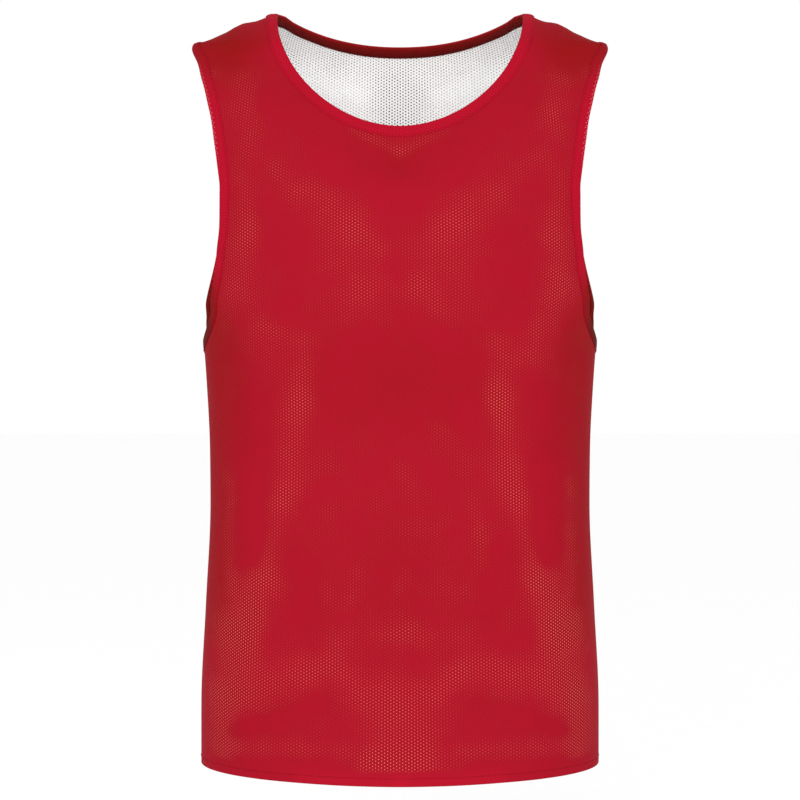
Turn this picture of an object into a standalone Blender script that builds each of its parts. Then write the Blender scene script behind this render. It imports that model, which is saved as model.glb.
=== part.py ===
"""Reversible training bib, in the hollow shape it has when it is worn.

The bib is two sleeveless mesh shirts, red outside and white inside, sewn together along the
neck, the armholes and the hem.  Units are metres.  +Z is up, the front faces -Y, and the
wearer's left is at +X.  The origin is the point midway between the high points of the two
shoulders, so the hem is at z = -BODY_LENGTH.

Every piece lies on one form, the outer face of the red cloth.  A place on the form is given by
its height z and by its share of the way round, from 0 at the centre line to 1 at the seam that
joins the front to the back.  Walls are that surface moved inwards along its normals.
"""

import math
from collections import namedtuple

import bpy
import numpy as np

MM = 0.001

# ---- Driving sizes ---------------------------------------------------------------------------

BODY_LENGTH = 0.723            # high point of the shoulder down to the hem
CLOTH = 1.0 * MM               # thickness of each mesh layer
GAP = 0.3 * MM                 # clearance between neighbouring pieces
BINDING_CLOTH = 1.0 * MM       # thickness of the folded neck and armhole binding
BINDING_WIDTH = 10.0 * MM      # how far each leg of a binding reaches over the panel
HEM_FOLD = 15.0 * MM           # height of the turned-up hem
HEM_TAPER = 1.5 * MM           # the raw edge of the turned-up cloth thins out over this height
HEM_LIFT = 4.5 * MM            # the hem rises from the centre to the side seams by this much
HEM_LIFT_POWER = 1.5

NECK_HALF_WIDTH = 0.1188       # cut edge of the panel at the shoulder seam
FRONT_NECK_DROP = 0.1200
BACK_NECK_DROP = 0.0225
FRONT_NECK_ROUND = 1.9         # 2 is an ellipse, less is more pointed
BACK_NECK_ROUND = 2.1

SHOULDER_TIP_Z = -0.0335       # outer end of the shoulder seam
UNDERARM_Z = -0.317            # bottom of the armhole, top of the side seam
ARMHOLE_FRONT_DEPTH = 0.085    # how far the armhole edge runs forward of the seam
ARMHOLE_BACK_DEPTH = 0.055
ARMHOLE_FRONT_ROUND = 1.5      # the upper half of the armhole, in front and behind
ARMHOLE_BACK_ROUND = 2.3
ARMHOLE_ROUND_BOTTOM = 2.7     # the lower half is squarer

# The form, one row for each level.  The half width is where front and back would meet; along
# the shoulder seam it is the seam itself.  The back stands out by its flare under the arm.
Ring = namedtuple("Ring", "height half_width back_flare front_depth back_depth squareness")
RINGS = (
    Ring(0.0000, 0.1188, 0.000, 0.0060, 0.0120, 2.20),
    Ring(-0.0090, 0.1454, 0.000, 0.0300, 0.0520, 2.25),
    Ring(-0.0190, 0.1684, 0.000, 0.0430, 0.0740, 2.30),
    Ring(-0.0280, 0.1875, 0.000, 0.0520, 0.0840, 2.35),
    Ring(-0.0335, 0.1985, 0.000, 0.0565, 0.0880, 2.40),
    Ring(-0.0380, 0.1998, 0.000, 0.0600, 0.0905, 2.40),
    Ring(-0.0480, 0.2012, -0.0025, 0.0650, 0.0945, 2.40),
    Ring(-0.0700, 0.2106, -0.0138, 0.0760, 0.1010, 2.40),
    Ring(-0.1000, 0.2193, -0.0246, 0.0905, 0.1070, 2.40),
    Ring(-0.1250, 0.2215, -0.0292, 0.1012, 0.1112, 2.42),
    Ring(-0.1500, 0.2177, -0.0284, 0.1110, 0.1150, 2.45),
    Ring(-0.1900, 0.2040, -0.0170, 0.1230, 0.1190, 2.50),
    Ring(-0.2150, 0.1989, -0.0109, 0.1277, 0.1203, 2.50),
    Ring(-0.2350, 0.1967, -0.0058, 0.1310, 0.1210, 2.50),
    Ring(-0.2750, 0.1948, 0.0018, 0.1293, 0.1202, 2.50),
    Ring(-0.2930, 0.1894, 0.0038, 0.1280, 0.1197, 2.51),
    Ring(-0.3170, 0.1878, 0.000, 0.1265, 0.1190, 2.54),
    Ring(-0.3450, 0.1856, 0.000, 0.1255, 0.1170, 2.58),
    Ring(-0.4200, 0.1817, 0.000, 0.1245, 0.1130, 2.65),
    Ring(-0.4700, 0.1812, 0.000, 0.1240, 0.1120, 2.70),
    Ring(-0.5650, 0.1856, 0.000, 0.1260, 0.1150, 2.62),
    Ring(-0.6600, 0.1902, 0.000, 0.1320, 0.1210, 2.44),
    Ring(-0.7230, 0.1905, 0.000, 0.1380, 0.1260, 2.20),
)

# The largest soft folds, one row each: a ridge, or a trough where the rise is negative, along
# a line across the panel as seen from the front.  Each has a twin on the other side of the
# centre line, whose rise is multiplied by twin.
Fold = namedtuple("Fold", "face x0 z0 x1 z1 width rise twin")
FOLDS = (
    Fold("front", 0.108, -0.098, 0.026, -0.176, 0.020, 0.0028, 1.00),
    Fold("front", 0.070, -0.125, 0.012, -0.150, 0.018, -0.0024, 1.00),
    Fold("front", 0.124, -0.320, 0.118, -0.560, 0.032, 0.0030, 0.90),
    Fold("front", 0.150, -0.345, 0.085, -0.430, 0.018, -0.0018, 0.70),
    Fold("front", 0.060, -0.585, 0.000, -0.592, 0.028, 0.0016, 1.00),
    Fold("front", 0.090, -0.700, 0.078, -0.600, 0.026, -0.0022, 0.80),
    Fold("back", 0.100, -0.075, 0.040, -0.210, 0.024, 0.0026, 0.80),
    Fold("back", 0.128, -0.330, 0.105, -0.540, 0.030, 0.0032, 1.15),
    Fold("back", 0.055, -0.400, 0.060, -0.640, 0.030, -0.0028, 0.75),
    Fold("back", 0.110, -0.710, 0.098, -0.560, 0.026, 0.0024, 0.70),
)

# Rows and columns of each panel, counted on one side of the centre line.
NECK_COLUMNS = 9
SHOULDER_COLUMNS = 4
SIDE_ROWS = 10
ARMHOLE_ROWS = 12
TIP_CROWD = 0.35               # above 0, the rows lie closer together near the shoulder tip
ROW_DIP = 0.10                # rows run up to the underarm from this far below it
RELAX_ROUNDS = 12

RED_MESH = (0.497, 0.0086, 0.0252)
WHITE_MESH = (0.780, 0.760, 0.750)
RED_BINDING = (0.560, 0.0070, 0.0260)

FACE_SIGN = {"front": -1.0, "back": 1.0}
STACK = 2 * CLOTH + GAP        # both layers together


# ---- The form --------------------------------------------------------------------------------

def monotone_slopes(at, values):
    """Slopes for a cubic through the values that has no bumps of its own."""
    step = np.diff(at)[:, None]
    rise = np.diff(values, axis=0) / step
    slopes = np.vstack([rise[:1], np.zeros_like(values[1:-1]), rise[-1:]])
    before, after = rise[:-1], rise[1:]
    near, far = 2 * step[1:] + step[:-1], step[1:] + 2 * step[:-1]
    same_way = before * after > 0
    safe_before = np.where(same_way, before, 1.0)
    safe_after = np.where(same_way, after, 1.0)
    mean = (near + far) / (near / safe_before + far / safe_after)
    slopes[1:-1] = np.where(same_way, mean, 0.0)
    return slopes


DEPTHS = np.array([-ring.height for ring in RINGS])
COLUMNS = np.array([ring[1:] for ring in RINGS])
SLOPES = monotone_slopes(DEPTHS, COLUMNS)


def ring_at(face, z):
    """Half width, depth and squareness of the form at height z, for the front or the back."""
    below = min(max(-z, DEPTHS[0]), DEPTHS[-1])
    row = min(int(np.searchsorted(DEPTHS, below, side="right")) - 1, len(DEPTHS) - 2)
    step = DEPTHS[row + 1] - DEPTHS[row]
    t = (below - DEPTHS[row]) / step
    values = ((1 + 2 * t) * (1 - t) ** 2 * COLUMNS[row]
              + t * (1 - t) ** 2 * step * SLOPES[row]
              + t * t * (3 - 2 * t) * COLUMNS[row + 1]
              + t * t * (t - 1) * step * SLOPES[row + 1])
    half_width, flare, front_depth, back_depth, squareness = values
    if face == "back":
        return half_width + flare, back_depth, squareness
    return half_width, front_depth, squareness


ANGLES = np.linspace(0.0, math.pi / 2, 49)


def quarter_ring(face, z):
    """Points of a quarter of a level, centre to seam, and the share of the way to each."""
    half_width, depth, squareness = ring_at(face, z)
    power = 2.0 / squareness
    x = half_width * np.sin(ANGLES) ** power
    y = depth * np.clip(np.cos(ANGLES), 0.0, 1.0) ** power
    y[-1] = 0.0
    length = np.concatenate([[0.0], np.cumsum(np.hypot(np.diff(x), np.diff(y)))])
    return x, y, length / length[-1]


def base_point(face, share, z):
    """The form without its folds.  The two halves stand a seam gap apart."""
    x, y, shares = quarter_ring(face, z)
    side = math.copysign(1.0, share)
    along = min(abs(share), 1.0)
    return np.array([side * np.interp(along, shares, x),
                     FACE_SIGN[face] * (GAP / 2 + np.interp(along, shares, y)),
                     z])


def share_at_width(face, z, width):
    x, _, shares = quarter_ring(face, z)
    return float(np.interp(width, x, shares))


def share_at_depth(face, z, depth):
    _, y, shares = quarter_ring(face, z)
    return float(np.interp(depth, y[::-1], shares[::-1]))


def share_towards(face, point):
    """The share of the place that lies level with a point, out from the body's axis."""
    x, y, shares = quarter_ring(face, point[2])
    bearing = math.atan2(point[0], max(abs(point[1]) - GAP / 2, 0.0))
    return float(np.interp(bearing, np.arctan2(x, y), shares))


def tangents(face, share, z):
    """How the form moves with the share and with the height."""
    step_share, step_z = 0.004, 0.0008
    low, high = share - step_share, min(share + step_share, 1.0)
    across = (base_point(face, high, z) - base_point(face, low, z)) / (high - low)
    top, bottom = min(z + step_z, 0.0), max(z - step_z, -BODY_LENGTH)
    upward = (base_point(face, share, top) - base_point(face, share, bottom)) / (top - bottom)
    if share >= 1.0:
        across = np.array([0.0, -FACE_SIGN[face] * np.linalg.norm(across), 0.0])
    return across, upward


def normal_at(face, share, z):
    across, upward = tangents(face, share, z)
    normal = -FACE_SIGN[face] * np.cross(across, upward)
    return normal / np.linalg.norm(normal)


def fold_rise(face, x, z):
    """How far the folds stand out of the form."""
    rise = 0.0
    for fold in FOLDS:
        if fold.face != face:
            continue
        for side, height in ((1.0, fold.rise), (-1.0, fold.rise * fold.twin)):
            start = np.array([side * fold.x0, fold.z0])
            run = np.array([side * fold.x1, fold.z1]) - start
            place = np.array([x, z]) - start
            along = min(max(float(place @ run) / float(run @ run), 0.0), 1.0)
            away = np.linalg.norm(place - along * run)
            rise += height * math.exp(-(away / fold.width) ** 2)
    return rise


def form_point(face, share, z):
    """A point of the finished surface and its normal.  Folds die out at the seams."""
    point = base_point(face, share, z)
    normal = normal_at(face, abs(share), z)
    normal[0] *= math.copysign(1.0, share)
    fade = 1.0 - min(abs(share), 1.0) ** 6
    return point + normal * fold_rise(face, point[0], z) * fade, normal


# ---- Edges of a panel, as places (share, z) on the form --------------------------------------

def neckline(face, t):
    """From the centre, t = 0, to the high point of the shoulder, t = 1."""
    angle = t * math.pi / 2
    if face == "front":
        power = 2.0 / FRONT_NECK_ROUND
        x = NECK_HALF_WIDTH * math.sin(angle) ** power
        z = -FRONT_NECK_DROP * max(math.cos(angle), 0.0) ** power
    else:
        x = NECK_HALF_WIDTH * math.sin(angle)
        z = -BACK_NECK_DROP * (1.0 - math.sin(angle) ** BACK_NECK_ROUND)
    if t >= 1.0:
        return 1.0, 0.0
    return share_at_width(face, z, x), z


def armhole(face, t):
    """From the underarm, t = 0, to the outer end of the shoulder seam, t = 1."""
    middle = (SHOULDER_TIP_Z + UNDERARM_Z) / 2
    half_height = (SHOULDER_TIP_Z - UNDERARM_Z) / 2
    depth = ARMHOLE_FRONT_DEPTH if face == "front" else ARMHOLE_BACK_DEPTH
    angle = (t - 0.5) * math.pi
    top_round = ARMHOLE_FRONT_ROUND if face == "front" else ARMHOLE_BACK_ROUND
    power = 2.0 / (top_round if t > 0.5 else ARMHOLE_ROUND_BOTTOM)
    if t <= 0.0 or t >= 1.0:
        return 1.0, UNDERARM_Z if t <= 0.0 else SHOULDER_TIP_Z
    z = middle + math.copysign(abs(math.sin(angle)) ** power, angle) * half_height
    return share_at_depth(face, z, depth * math.cos(angle) ** power), z


def hem_height(x):
    """The level of the hem's fold at a distance from the centre line."""
    out = min(abs(x) / RINGS[-1].half_width, 1.0)
    return HEM_LIFT * out ** HEM_LIFT_POWER - BODY_LENGTH


def seam(start_z, end_z):
    """A stretch of the line where front meets back."""
    return lambda face, t: (1.0, start_z + t * (end_z - start_z))


def spread(face, curve, stops):
    """Places on a curve at the given distances from its start, as shares of its length."""
    steps = np.linspace(0.0, 1.0, 161)
    points = np.array([base_point(face, *curve(face, t)) for t in steps])
    length = np.concatenate([[0.0], np.cumsum(np.linalg.norm(np.diff(points, axis=0), axis=1))])
    return [curve(face, float(t)) for t in np.interp(np.array(stops) * length[-1], length, steps)]


def walk(face, share, start_z, direction, distance):
    """The height reached after a distance straight up or down the form from start_z."""
    z, walked, step = start_z, 0.0, direction * 0.1 * MM
    while walked < distance:
        walked += np.linalg.norm(base_point(face, share, z + step) - base_point(face, share, z))
        z += step
    return z


def slide(face, place, move):
    """Move a place by a step in space, kept to the form."""
    across, upward = tangents(face, *place)
    (share, z), *_ = np.linalg.lstsq(np.column_stack([across, upward]), move, rcond=None)
    return min(place[0] + share, 1.0), place[1] + z


def inset(face, place, before, after, width):
    """The place a given width inside an edge, square to it along the form."""
    run = base_point(face, *after) - base_point(face, *before)
    hops = 4
    for _ in range(hops):
        inward = np.cross(np.cross(*tangents(face, *place)), run)
        place = slide(face, place, inward * width / hops / np.linalg.norm(inward))
    return place


# ---- Panels ----------------------------------------------------------------------------------

def panel_places(face):
    """One half of a panel: its inner grid of places, neck edge and armhole edge.

    The grid stops a binding's width short of the neckline and the armhole, and one strip of
    cells follows each of those edges, so that a binding lies flat on its strip.
    """
    neck_edge = spread(face, neckline, np.linspace(0.0, 1.0, NECK_COLUMNS + 1))
    even = np.linspace(0.0, 1.0, ARMHOLE_ROWS + 1)
    arm_edge = spread(face, armhole, even + TIP_CROWD * even ** 2 * (1.0 - even))
    by_neck = walk(face, 1.0, 0.0, -1, BINDING_WIDTH)
    by_tip = walk(face, 1.0, SHOULDER_TIP_Z, 1, BINDING_WIDTH)
    below_arm = walk(face, 1.0, UNDERARM_Z, -1, BINDING_WIDTH)

    neck_line = [(0.0, walk(face, 0.0, neck_edge[0][1], -1, BINDING_WIDTH))]
    for i in range(1, NECK_COLUMNS):
        neck_line.append(inset(face, neck_edge[i], neck_edge[i + 1], neck_edge[i - 1],
                               BINDING_WIDTH))
    arm_line = [(1.0, below_arm)]
    for j in range(1, ARMHOLE_ROWS):
        arm_line.append(inset(face, arm_edge[j], arm_edge[j - 1], arm_edge[j + 1],
                              BINDING_WIDTH))
    arm_line.append((1.0, by_tip))

    shoulder = spread(face, seam(by_neck, by_tip), np.linspace(0.0, 1.0, SHOULDER_COLUMNS + 1))
    top = neck_line + shoulder
    columns = len(top)
    hem = [(i / (columns - 1), hem_height(base_point(face, i / (columns - 1), -BODY_LENGTH)[0]))
           for i in range(columns)]
    hem_z, side_hem_z = hem[0][1], hem[-1][1]
    fold = HEM_FOLD + HEM_TAPER
    side_z = [side_hem_z, side_hem_z + HEM_FOLD]
    side_z += list(np.linspace(side_hem_z + fold, below_arm, SIDE_ROWS + 1))
    right = [(1.0, z) for z in side_z] + arm_line[1:]
    dip_z = below_arm - ROW_DIP
    centre_z = [hem_z, hem_z + HEM_FOLD] + list(np.linspace(hem_z + fold, dip_z, SIDE_ROWS + 1))
    centre_z += list(np.linspace(dip_z, top[0][1], ARMHOLE_ROWS + 1))[1:]

    rows = len(right)
    centre = [(0.0, z) for z in centre_z]
    low, high, near, far = ([base_point(face, *place) for place in edge]
                            for edge in (hem, top, centre, right))
    grid = [hem]
    for j in range(1, rows - 1):
        up = ((centre_z[j] - hem_z) / (centre_z[-1] - hem_z)) ** 2
        left = near[j] - (1 - up) * low[0] - up * high[0]
        side = far[j] - (1 - up) * low[-1] - up * high[-1]
        line = [centre[j]]
        for i in range(1, columns - 1):
            out = i / (columns - 1)
            point = (1 - up) * low[i] + up * high[i] + (1 - out) * left + out * side
            line.append((share_towards(face, point), float(point[2])))
        grid.append(line + [right[j]])
    grid.append(top)
    relax(face, grid, first_row=3)
    return grid, neck_edge, arm_edge


def relax(face, grid, first_row):
    """Even out the inner places of a grid, each towards the middle of its four neighbours."""
    for _ in range(RELAX_ROUNDS):
        points = np.array([[base_point(face, *place) for place in line] for line in grid])
        middle = (points[:-2, 1:-1] + points[2:, 1:-1] + points[1:-1, :-2] + points[1:-1, 2:]) / 4
        moves = middle - points[1:-1, 1:-1]
        for j in range(first_row, len(grid) - 1):
            for i in range(1, len(grid[0]) - 1):
                grid[j][i] = slide(face, grid[j][i], moves[j - 1, i - 1])


Panel = namedtuple("Panel", "points normals cells rows neck armhole seam")


def make_panel(face):
    """Both halves of a panel as points, normals and cells that share points.

    neck and armhole list the sections where a binding crosses the edge, counted from the
    centre or the underarm, each with the numbers of its edge point and of the point a
    binding's width inside it.  seam lists the points where the panel meets the other one.
    """
    grid, neck_edge, arm_edge = panel_places(face)
    points, normals, number, seam_points = [], [], {}, []

    def at(side, name, place):
        centre = abs(place[0]) < 1e-9
        key = (0 if centre else side, name)
        if key not in number:
            point, normal = form_point(face, side * max(place[0], 0.0), place[1])
            number[key] = len(points)
            points.append(point)
            normals.append(normal)
            if place[0] >= 1.0:
                seam_points.append(number[key])
        return number[key]

    cells, cell_rows, neck, armholes = [], [], {}, {}
    arm_row = len(grid) - 1 - ARMHOLE_ROWS
    for side in (1, -1):
        ids = [[at(side, (j, i), place) for i, place in enumerate(line)]
               for j, line in enumerate(grid)]
        for j in range(len(ids) - 1):
            for i in range(len(ids[0]) - 1):
                cells.append((ids[j][i], ids[j][i + 1], ids[j + 1][i + 1], ids[j + 1][i]))
                cell_rows.append(j)
        neck[side] = [(i, at(side, ("neck", i), place), ids[-1][i])
                      for i, place in enumerate(neck_edge)]
        armholes[side] = [(j, at(side, ("arm", j), place), ids[arm_row + j][-1])
                          for j, place in enumerate(arm_edge)]
        for sections in (neck[side], armholes[side]):
            for (_, edge, inner), (_, next_edge, next_inner) in zip(sections, sections[1:]):
                cells += [(edge, inner, next_inner), (edge, next_inner, next_edge)]
                cell_rows += [len(ids)] * 2
    points = np.array(points)
    normals = mean_normals(points, normals, cells)
    return Panel(points, normals, cells, cell_rows, neck, armholes, seam_points)


def mean_normals(points, normals, cells):
    """Normals of the facets round each point, weighted by their corners' angles."""
    total = np.zeros_like(points)
    for cell in cells:
        for facet in triangles(points, normals, cell):
            for here, after, before in zip(facet, facet[1:] + facet[:1], facet[-1:] + facet[:-1]):
                ahead, behind = points[after] - points[here], points[before] - points[here]
                square = np.cross(ahead, behind)
                size = np.linalg.norm(square)
                total[here] += square / size * math.atan2(size, float(ahead @ behind))
    return total / np.linalg.norm(total, axis=1)[:, None]


def share_seam_normals(front, back):
    """Give both panels the same normals, square to Y, where they meet."""
    shared = front.normals[front.seam] + back.normals[back.seam]
    shared[:, 1] = 0.0
    shared /= np.linalg.norm(shared, axis=1)[:, None]
    front.normals[front.seam] = shared
    back.normals[back.seam] = shared


def diagonal_ac(points, normals, cell):
    """Whether a cell splits better from its first to its third corner than the other way."""
    a, b, c, d = (points[n] for n in cell)
    facing = sum(normals[n] for n in cell)
    if facing @ np.cross(c - a, d - b) < 0:
        facing = -facing

    def worst(p, q, r, s):
        halves = (np.cross(q - p, r - p), np.cross(r - p, s - p))
        return min(float(facing @ half) / np.linalg.norm(half) for half in halves)

    return worst(a, b, c, d) >= worst(b, c, d, a)


def triangles(points, normals, cell):
    """Split a four-sided cell in two and turn every part to face outwards."""
    parts = [cell]
    if len(cell) == 4:
        a, b, c, d = cell
        if diagonal_ac(points, normals, cell):
            parts = [(a, b, c), (a, c, d)]
        else:
            parts = [(a, b, d), (b, c, d)]
    p, q, r = (points[n] for n in parts[0])
    if sum(normals[n] for n in parts[0]) @ np.cross(q - p, r - p) < 0:
        parts = [tuple(reversed(part)) for part in parts]
    return parts


def cloth_wall(panel, outer, inner_depths, first_row):
    """A closed wall under the panel's surface, from the outer depth to the inner depths."""
    used, faces = {}, []
    for cell, row in zip(panel.cells, panel.rows):
        if row >= first_row:
            for triangle in triangles(panel.points, panel.normals, cell):
                faces.append(tuple(used.setdefault(n, len(used)) for n in triangle))
    order = list(used)
    count = len(order)
    shell = panel.points[order], panel.normals[order]
    depth = np.array([inner_depths(panel, n) for n in order])[:, None]
    vertices = np.vstack([shell[0] - outer * shell[1], shell[0] - depth * shell[1]])
    edges = {(p, q) for tri in faces for p, q in zip(tri, tri[1:] + tri[:1])}
    solid = list(faces) + [tuple(n + count for n in reversed(tri)) for tri in faces]
    for p, q in sorted(edges):
        if (q, p) in edges:
            continue
        if p < q:
            solid += [(q, p, p + count), (q, p + count, q + count)]
        else:
            solid += [(q, p, q + count), (p, p + count, q + count)]
    return vertices, solid


def red_wall_depth(panel, n):
    """The red cloth is turned up at the hem, where it is as thick as both layers."""
    x, _, z = panel.points[n]
    folded = z < hem_height(x) + HEM_FOLD + HEM_TAPER / 2
    return STACK if folded else CLOTH


def white_wall_depth(panel, n):
    return STACK


# ---- Bindings --------------------------------------------------------------------------------

def binding_section(edge, edge_normal, inner, inner_normal):
    """The folded strip's outline where it crosses an edge: over, round and under the cloth."""
    into = inner - edge
    into -= edge_normal * (into @ edge_normal)
    into /= np.linalg.norm(into)
    over, under = -GAP, STACK + GAP
    fold = GAP + BINDING_CLOTH

    def leg(depth):
        return inner - inner_normal * depth

    def round_edge(past, depth):
        return edge - into * past - edge_normal * depth

    return [
        leg(over - BINDING_CLOTH),
        round_edge(0.6 * fold, over - 0.75 * BINDING_CLOTH),
        round_edge(fold, over + 0.4 * BINDING_CLOTH),
        round_edge(fold, under - 0.4 * BINDING_CLOTH),
        round_edge(0.6 * fold, under + 0.75 * BINDING_CLOTH),
        leg(under + BINDING_CLOTH),
        leg(under),
        round_edge(GAP, under),
        round_edge(GAP, over),
        leg(over),
    ]


LEG_STARTS = (0, 6)            # outline points from which a leg runs towards the edge


def loop_sections(front, back, front_ids, back_ids):
    """Sections round a closed opening.  Where two panels meet, theirs are made one."""
    def frames(panel, ids):
        return [(order, panel.points[e], panel.normals[e], panel.points[i], panel.normals[i])
                for order, e, i in ids]

    def merged(one, other):
        return tuple((a + b) / 2 for a, b in zip(one, other))

    ahead, behind = frames(front, front_ids), frames(back, back_ids)
    start, end = merged(ahead[0], behind[0]), merged(ahead[-1], behind[-1])
    return [start] + ahead[1:-1] + [end] + behind[-2:0:-1]


def binding_solid(sections):
    """A closed tube of binding sections, split like the strips of cloth that it lies on."""
    rings = [binding_section(*section[1:]) for section in sections]
    size = len(rings[0])
    vertices = [point for ring in rings for point in ring]
    faces = []
    for k, section in enumerate(sections):
        next_k = (k + 1) % len(sections)
        onward = sections[next_k][0] > section[0]
        for q in range(size):
            r = (q + 1) % size
            a, b = k * size + q, k * size + r
            c, d = next_k * size + r, next_k * size + q
            if onward == (q in LEG_STARTS):
                faces += [(a, b, d), (b, c, d)]
            else:
                faces += [(a, b, c), (a, c, d)]
    return vertices, faces


# ---- Objects ---------------------------------------------------------------------------------

def cloth_material(name, colour, roughness):
    material = bpy.data.materials.new(name)
    material.use_nodes = True
    shader = material.node_tree.nodes["Principled BSDF"]
    shader.inputs["Base Color"].default_value = (*colour, 1.0)
    shader.inputs["Roughness"].default_value = roughness
    shader.inputs["Metallic"].default_value = 0.0
    material.diffuse_color = (*colour, 1.0)
    return material


def signed_volume(vertices, faces):
    corners = np.array(vertices)[np.array(faces)]
    return float(np.einsum("ij,ij->", corners[:, 0], np.cross(corners[:, 1], corners[:, 2]))) / 6


def add_piece(name, vertices, faces, material):
    if signed_volume(vertices, faces) < 0:
        faces = [tuple(reversed(face)) for face in faces]
    mesh = bpy.data.meshes.new(name)
    mesh.from_pydata([tuple(v) for v in vertices], [], faces)
    mesh.materials.append(material)
    mesh.shade_smooth()
    mesh.set_sharp_from_angle(angle=math.radians(50))
    piece = bpy.data.objects.new(name, mesh)
    bpy.context.scene.collection.objects.link(piece)
    return piece


def build_bib():
    for leftover in list(bpy.data.objects):
        bpy.data.objects.remove(leftover, do_unlink=True)

    front, back = make_panel("front"), make_panel("back")
    share_seam_normals(front, back)
    red = cloth_material("red mesh", RED_MESH, 0.75)
    white = cloth_material("white mesh", WHITE_MESH, 0.75)
    trim = cloth_material("red binding", RED_BINDING, 0.70)

    hem_rows = 2
    for name, panel in (("front", front), ("back", back)):
        add_piece("outer_" + name, *cloth_wall(panel, 0.0, red_wall_depth, 0), red)
        add_piece("inner_" + name,
                  *cloth_wall(panel, CLOTH + GAP, white_wall_depth, hem_rows), white)

    neck_front = list(reversed(front.neck[-1])) + front.neck[1][1:]
    neck_back = list(reversed(back.neck[-1])) + back.neck[1][1:]
    sections = loop_sections(front, back, neck_front, neck_back)
    add_piece("neck_binding", *binding_solid(sections), trim)
    for name, side in (("left", 1), ("right", -1)):
        sections = loop_sections(front, back, front.armhole[side], back.armhole[side])
        add_piece("armhole_binding_" + name, *binding_solid(sections), trim)


build_bib()
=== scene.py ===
# %% [markdown]
# # A reversible training bib
#
# The bib is two sleeveless shirts of knitted mesh, red outside and white inside, sewn together
# along the neck, the armholes and the hem. This lesson dresses the plain solids of the part:
# every panel becomes fine cloth, every edge gets its folded binding and its stitches.
#
# The solids come first, because they fix the place of everything. All lengths are in metres,
# +Z is up, the front faces -Y, and the origin is midway between the high points of the
# shoulders.

# %% Load the solids and keep their box
import math
from collections import namedtuple

import bpy
import numpy as np
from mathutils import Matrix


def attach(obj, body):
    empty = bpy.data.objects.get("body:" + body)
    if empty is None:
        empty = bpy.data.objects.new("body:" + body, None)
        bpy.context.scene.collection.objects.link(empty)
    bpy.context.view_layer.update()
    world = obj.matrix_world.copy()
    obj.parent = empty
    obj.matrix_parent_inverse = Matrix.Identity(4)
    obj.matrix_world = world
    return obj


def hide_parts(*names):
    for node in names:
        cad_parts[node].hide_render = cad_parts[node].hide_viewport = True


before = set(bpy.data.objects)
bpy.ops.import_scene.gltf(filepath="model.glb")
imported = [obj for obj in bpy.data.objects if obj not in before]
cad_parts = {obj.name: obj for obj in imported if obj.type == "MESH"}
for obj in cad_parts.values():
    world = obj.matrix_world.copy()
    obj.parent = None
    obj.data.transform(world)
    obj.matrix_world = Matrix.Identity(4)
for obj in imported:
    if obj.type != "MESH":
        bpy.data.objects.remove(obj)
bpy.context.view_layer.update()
MM = 0.001                     # one millimetre in metres
MILLIMETRES = 1000.0           # in one metre


def in_scene(name, data):
    """A new object that holds the data and stands in the scene, unmoved and unscaled."""
    made = bpy.data.objects.new(name, data)
    bpy.context.scene.collection.objects.link(made)
    return made


print("solids:", ", ".join(sorted(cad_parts)))

# %% [markdown]
# ## The camera and the light
#
# The picture was taken square to the front, with the lens level with the middle of the bib. A
# long lens at 2.4 m gives the photograph's mild perspective, which shows in the way that the
# back of the neck sits higher than the front. The camera is made first, so that each later step
# can be looked at.

# %% The camera
CAMERA_DISTANCE = 2.4
CAMERA_HEIGHT = -0.372
PICTURE_WIDTH = 800.0          # pixels
PIXELS_PER_METRE = 1040.0      # at the shoulder seam
SENSOR = 36.0                  # millimetres, as the lens is

camera_data = bpy.data.cameras.new("camera")
camera_data.sensor_width = SENSOR
camera_data.lens = PIXELS_PER_METRE * CAMERA_DISTANCE * SENSOR / PICTURE_WIDTH
camera = in_scene("camera", camera_data)
camera.location = (0.0, -CAMERA_DISTANCE, CAMERA_HEIGHT)
camera.rotation_euler = (math.pi / 2, 0.0, 0.0)
bpy.context.scene.camera = camera
print(f"lens {camera_data.lens:.1f} mm")

# %% [markdown]
# The studio is white on all sides, so most of the light comes evenly from the world and from
# the floor. Two large soft boxes in front add the little direction that the photograph has: the
# chest is brightest, and the cloth darkens where it turns away at the sides. The bib hangs in
# the air in the shape of its wearer, so the floor lies some way below it.

# %% The studio
FLOOR_HEIGHT = -0.95


def area_light(name, place, target, size, power):
    """A square soft box that faces its target and isn't seen itself."""
    light = bpy.data.lights.new(name, "AREA")
    light.size, light.energy = size, power
    lamp = in_scene(name, light)
    lamp.location = place
    aim = np.array(target) - np.array(place)
    lamp.rotation_euler = (math.acos(-aim[2] / np.linalg.norm(aim)), 0.0,
                           math.atan2(-aim[0], aim[1]))
    lamp.visible_camera = False
    return lamp


world = bpy.data.worlds.new("white studio")
world.use_nodes = True
background = world.node_tree.nodes["Background"]
background.inputs["Color"].default_value = (1.0, 1.0, 1.0, 1.0)
background.inputs["Strength"].default_value = 1.0
bpy.context.scene.world = world
bpy.context.scene.view_settings.view_transform = "Standard"

area_light("key_light", (-0.5, -3.2, 0.4), (0.0, 0.0, -0.30), 1.6, 34.0)
area_light("fill_light", (0.7, -3.2, -0.2), (0.0, 0.0, -0.40), 1.6, 20.0)
print("studio: white world, two soft boxes")

# %% [markdown]
# ## Materials as expressions
#
# A shader tree is easier to read as arithmetic than as a list of nodes. `Wire` stands for one
# output of the tree, and adding or multiplying wires adds the Math nodes. `Shop` makes every
# other node: it takes the node's type, its settings, and what goes into its sockets.

# %% Wires and the shop that makes nodes
FAINT_GLOSS = 0.04


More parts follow.
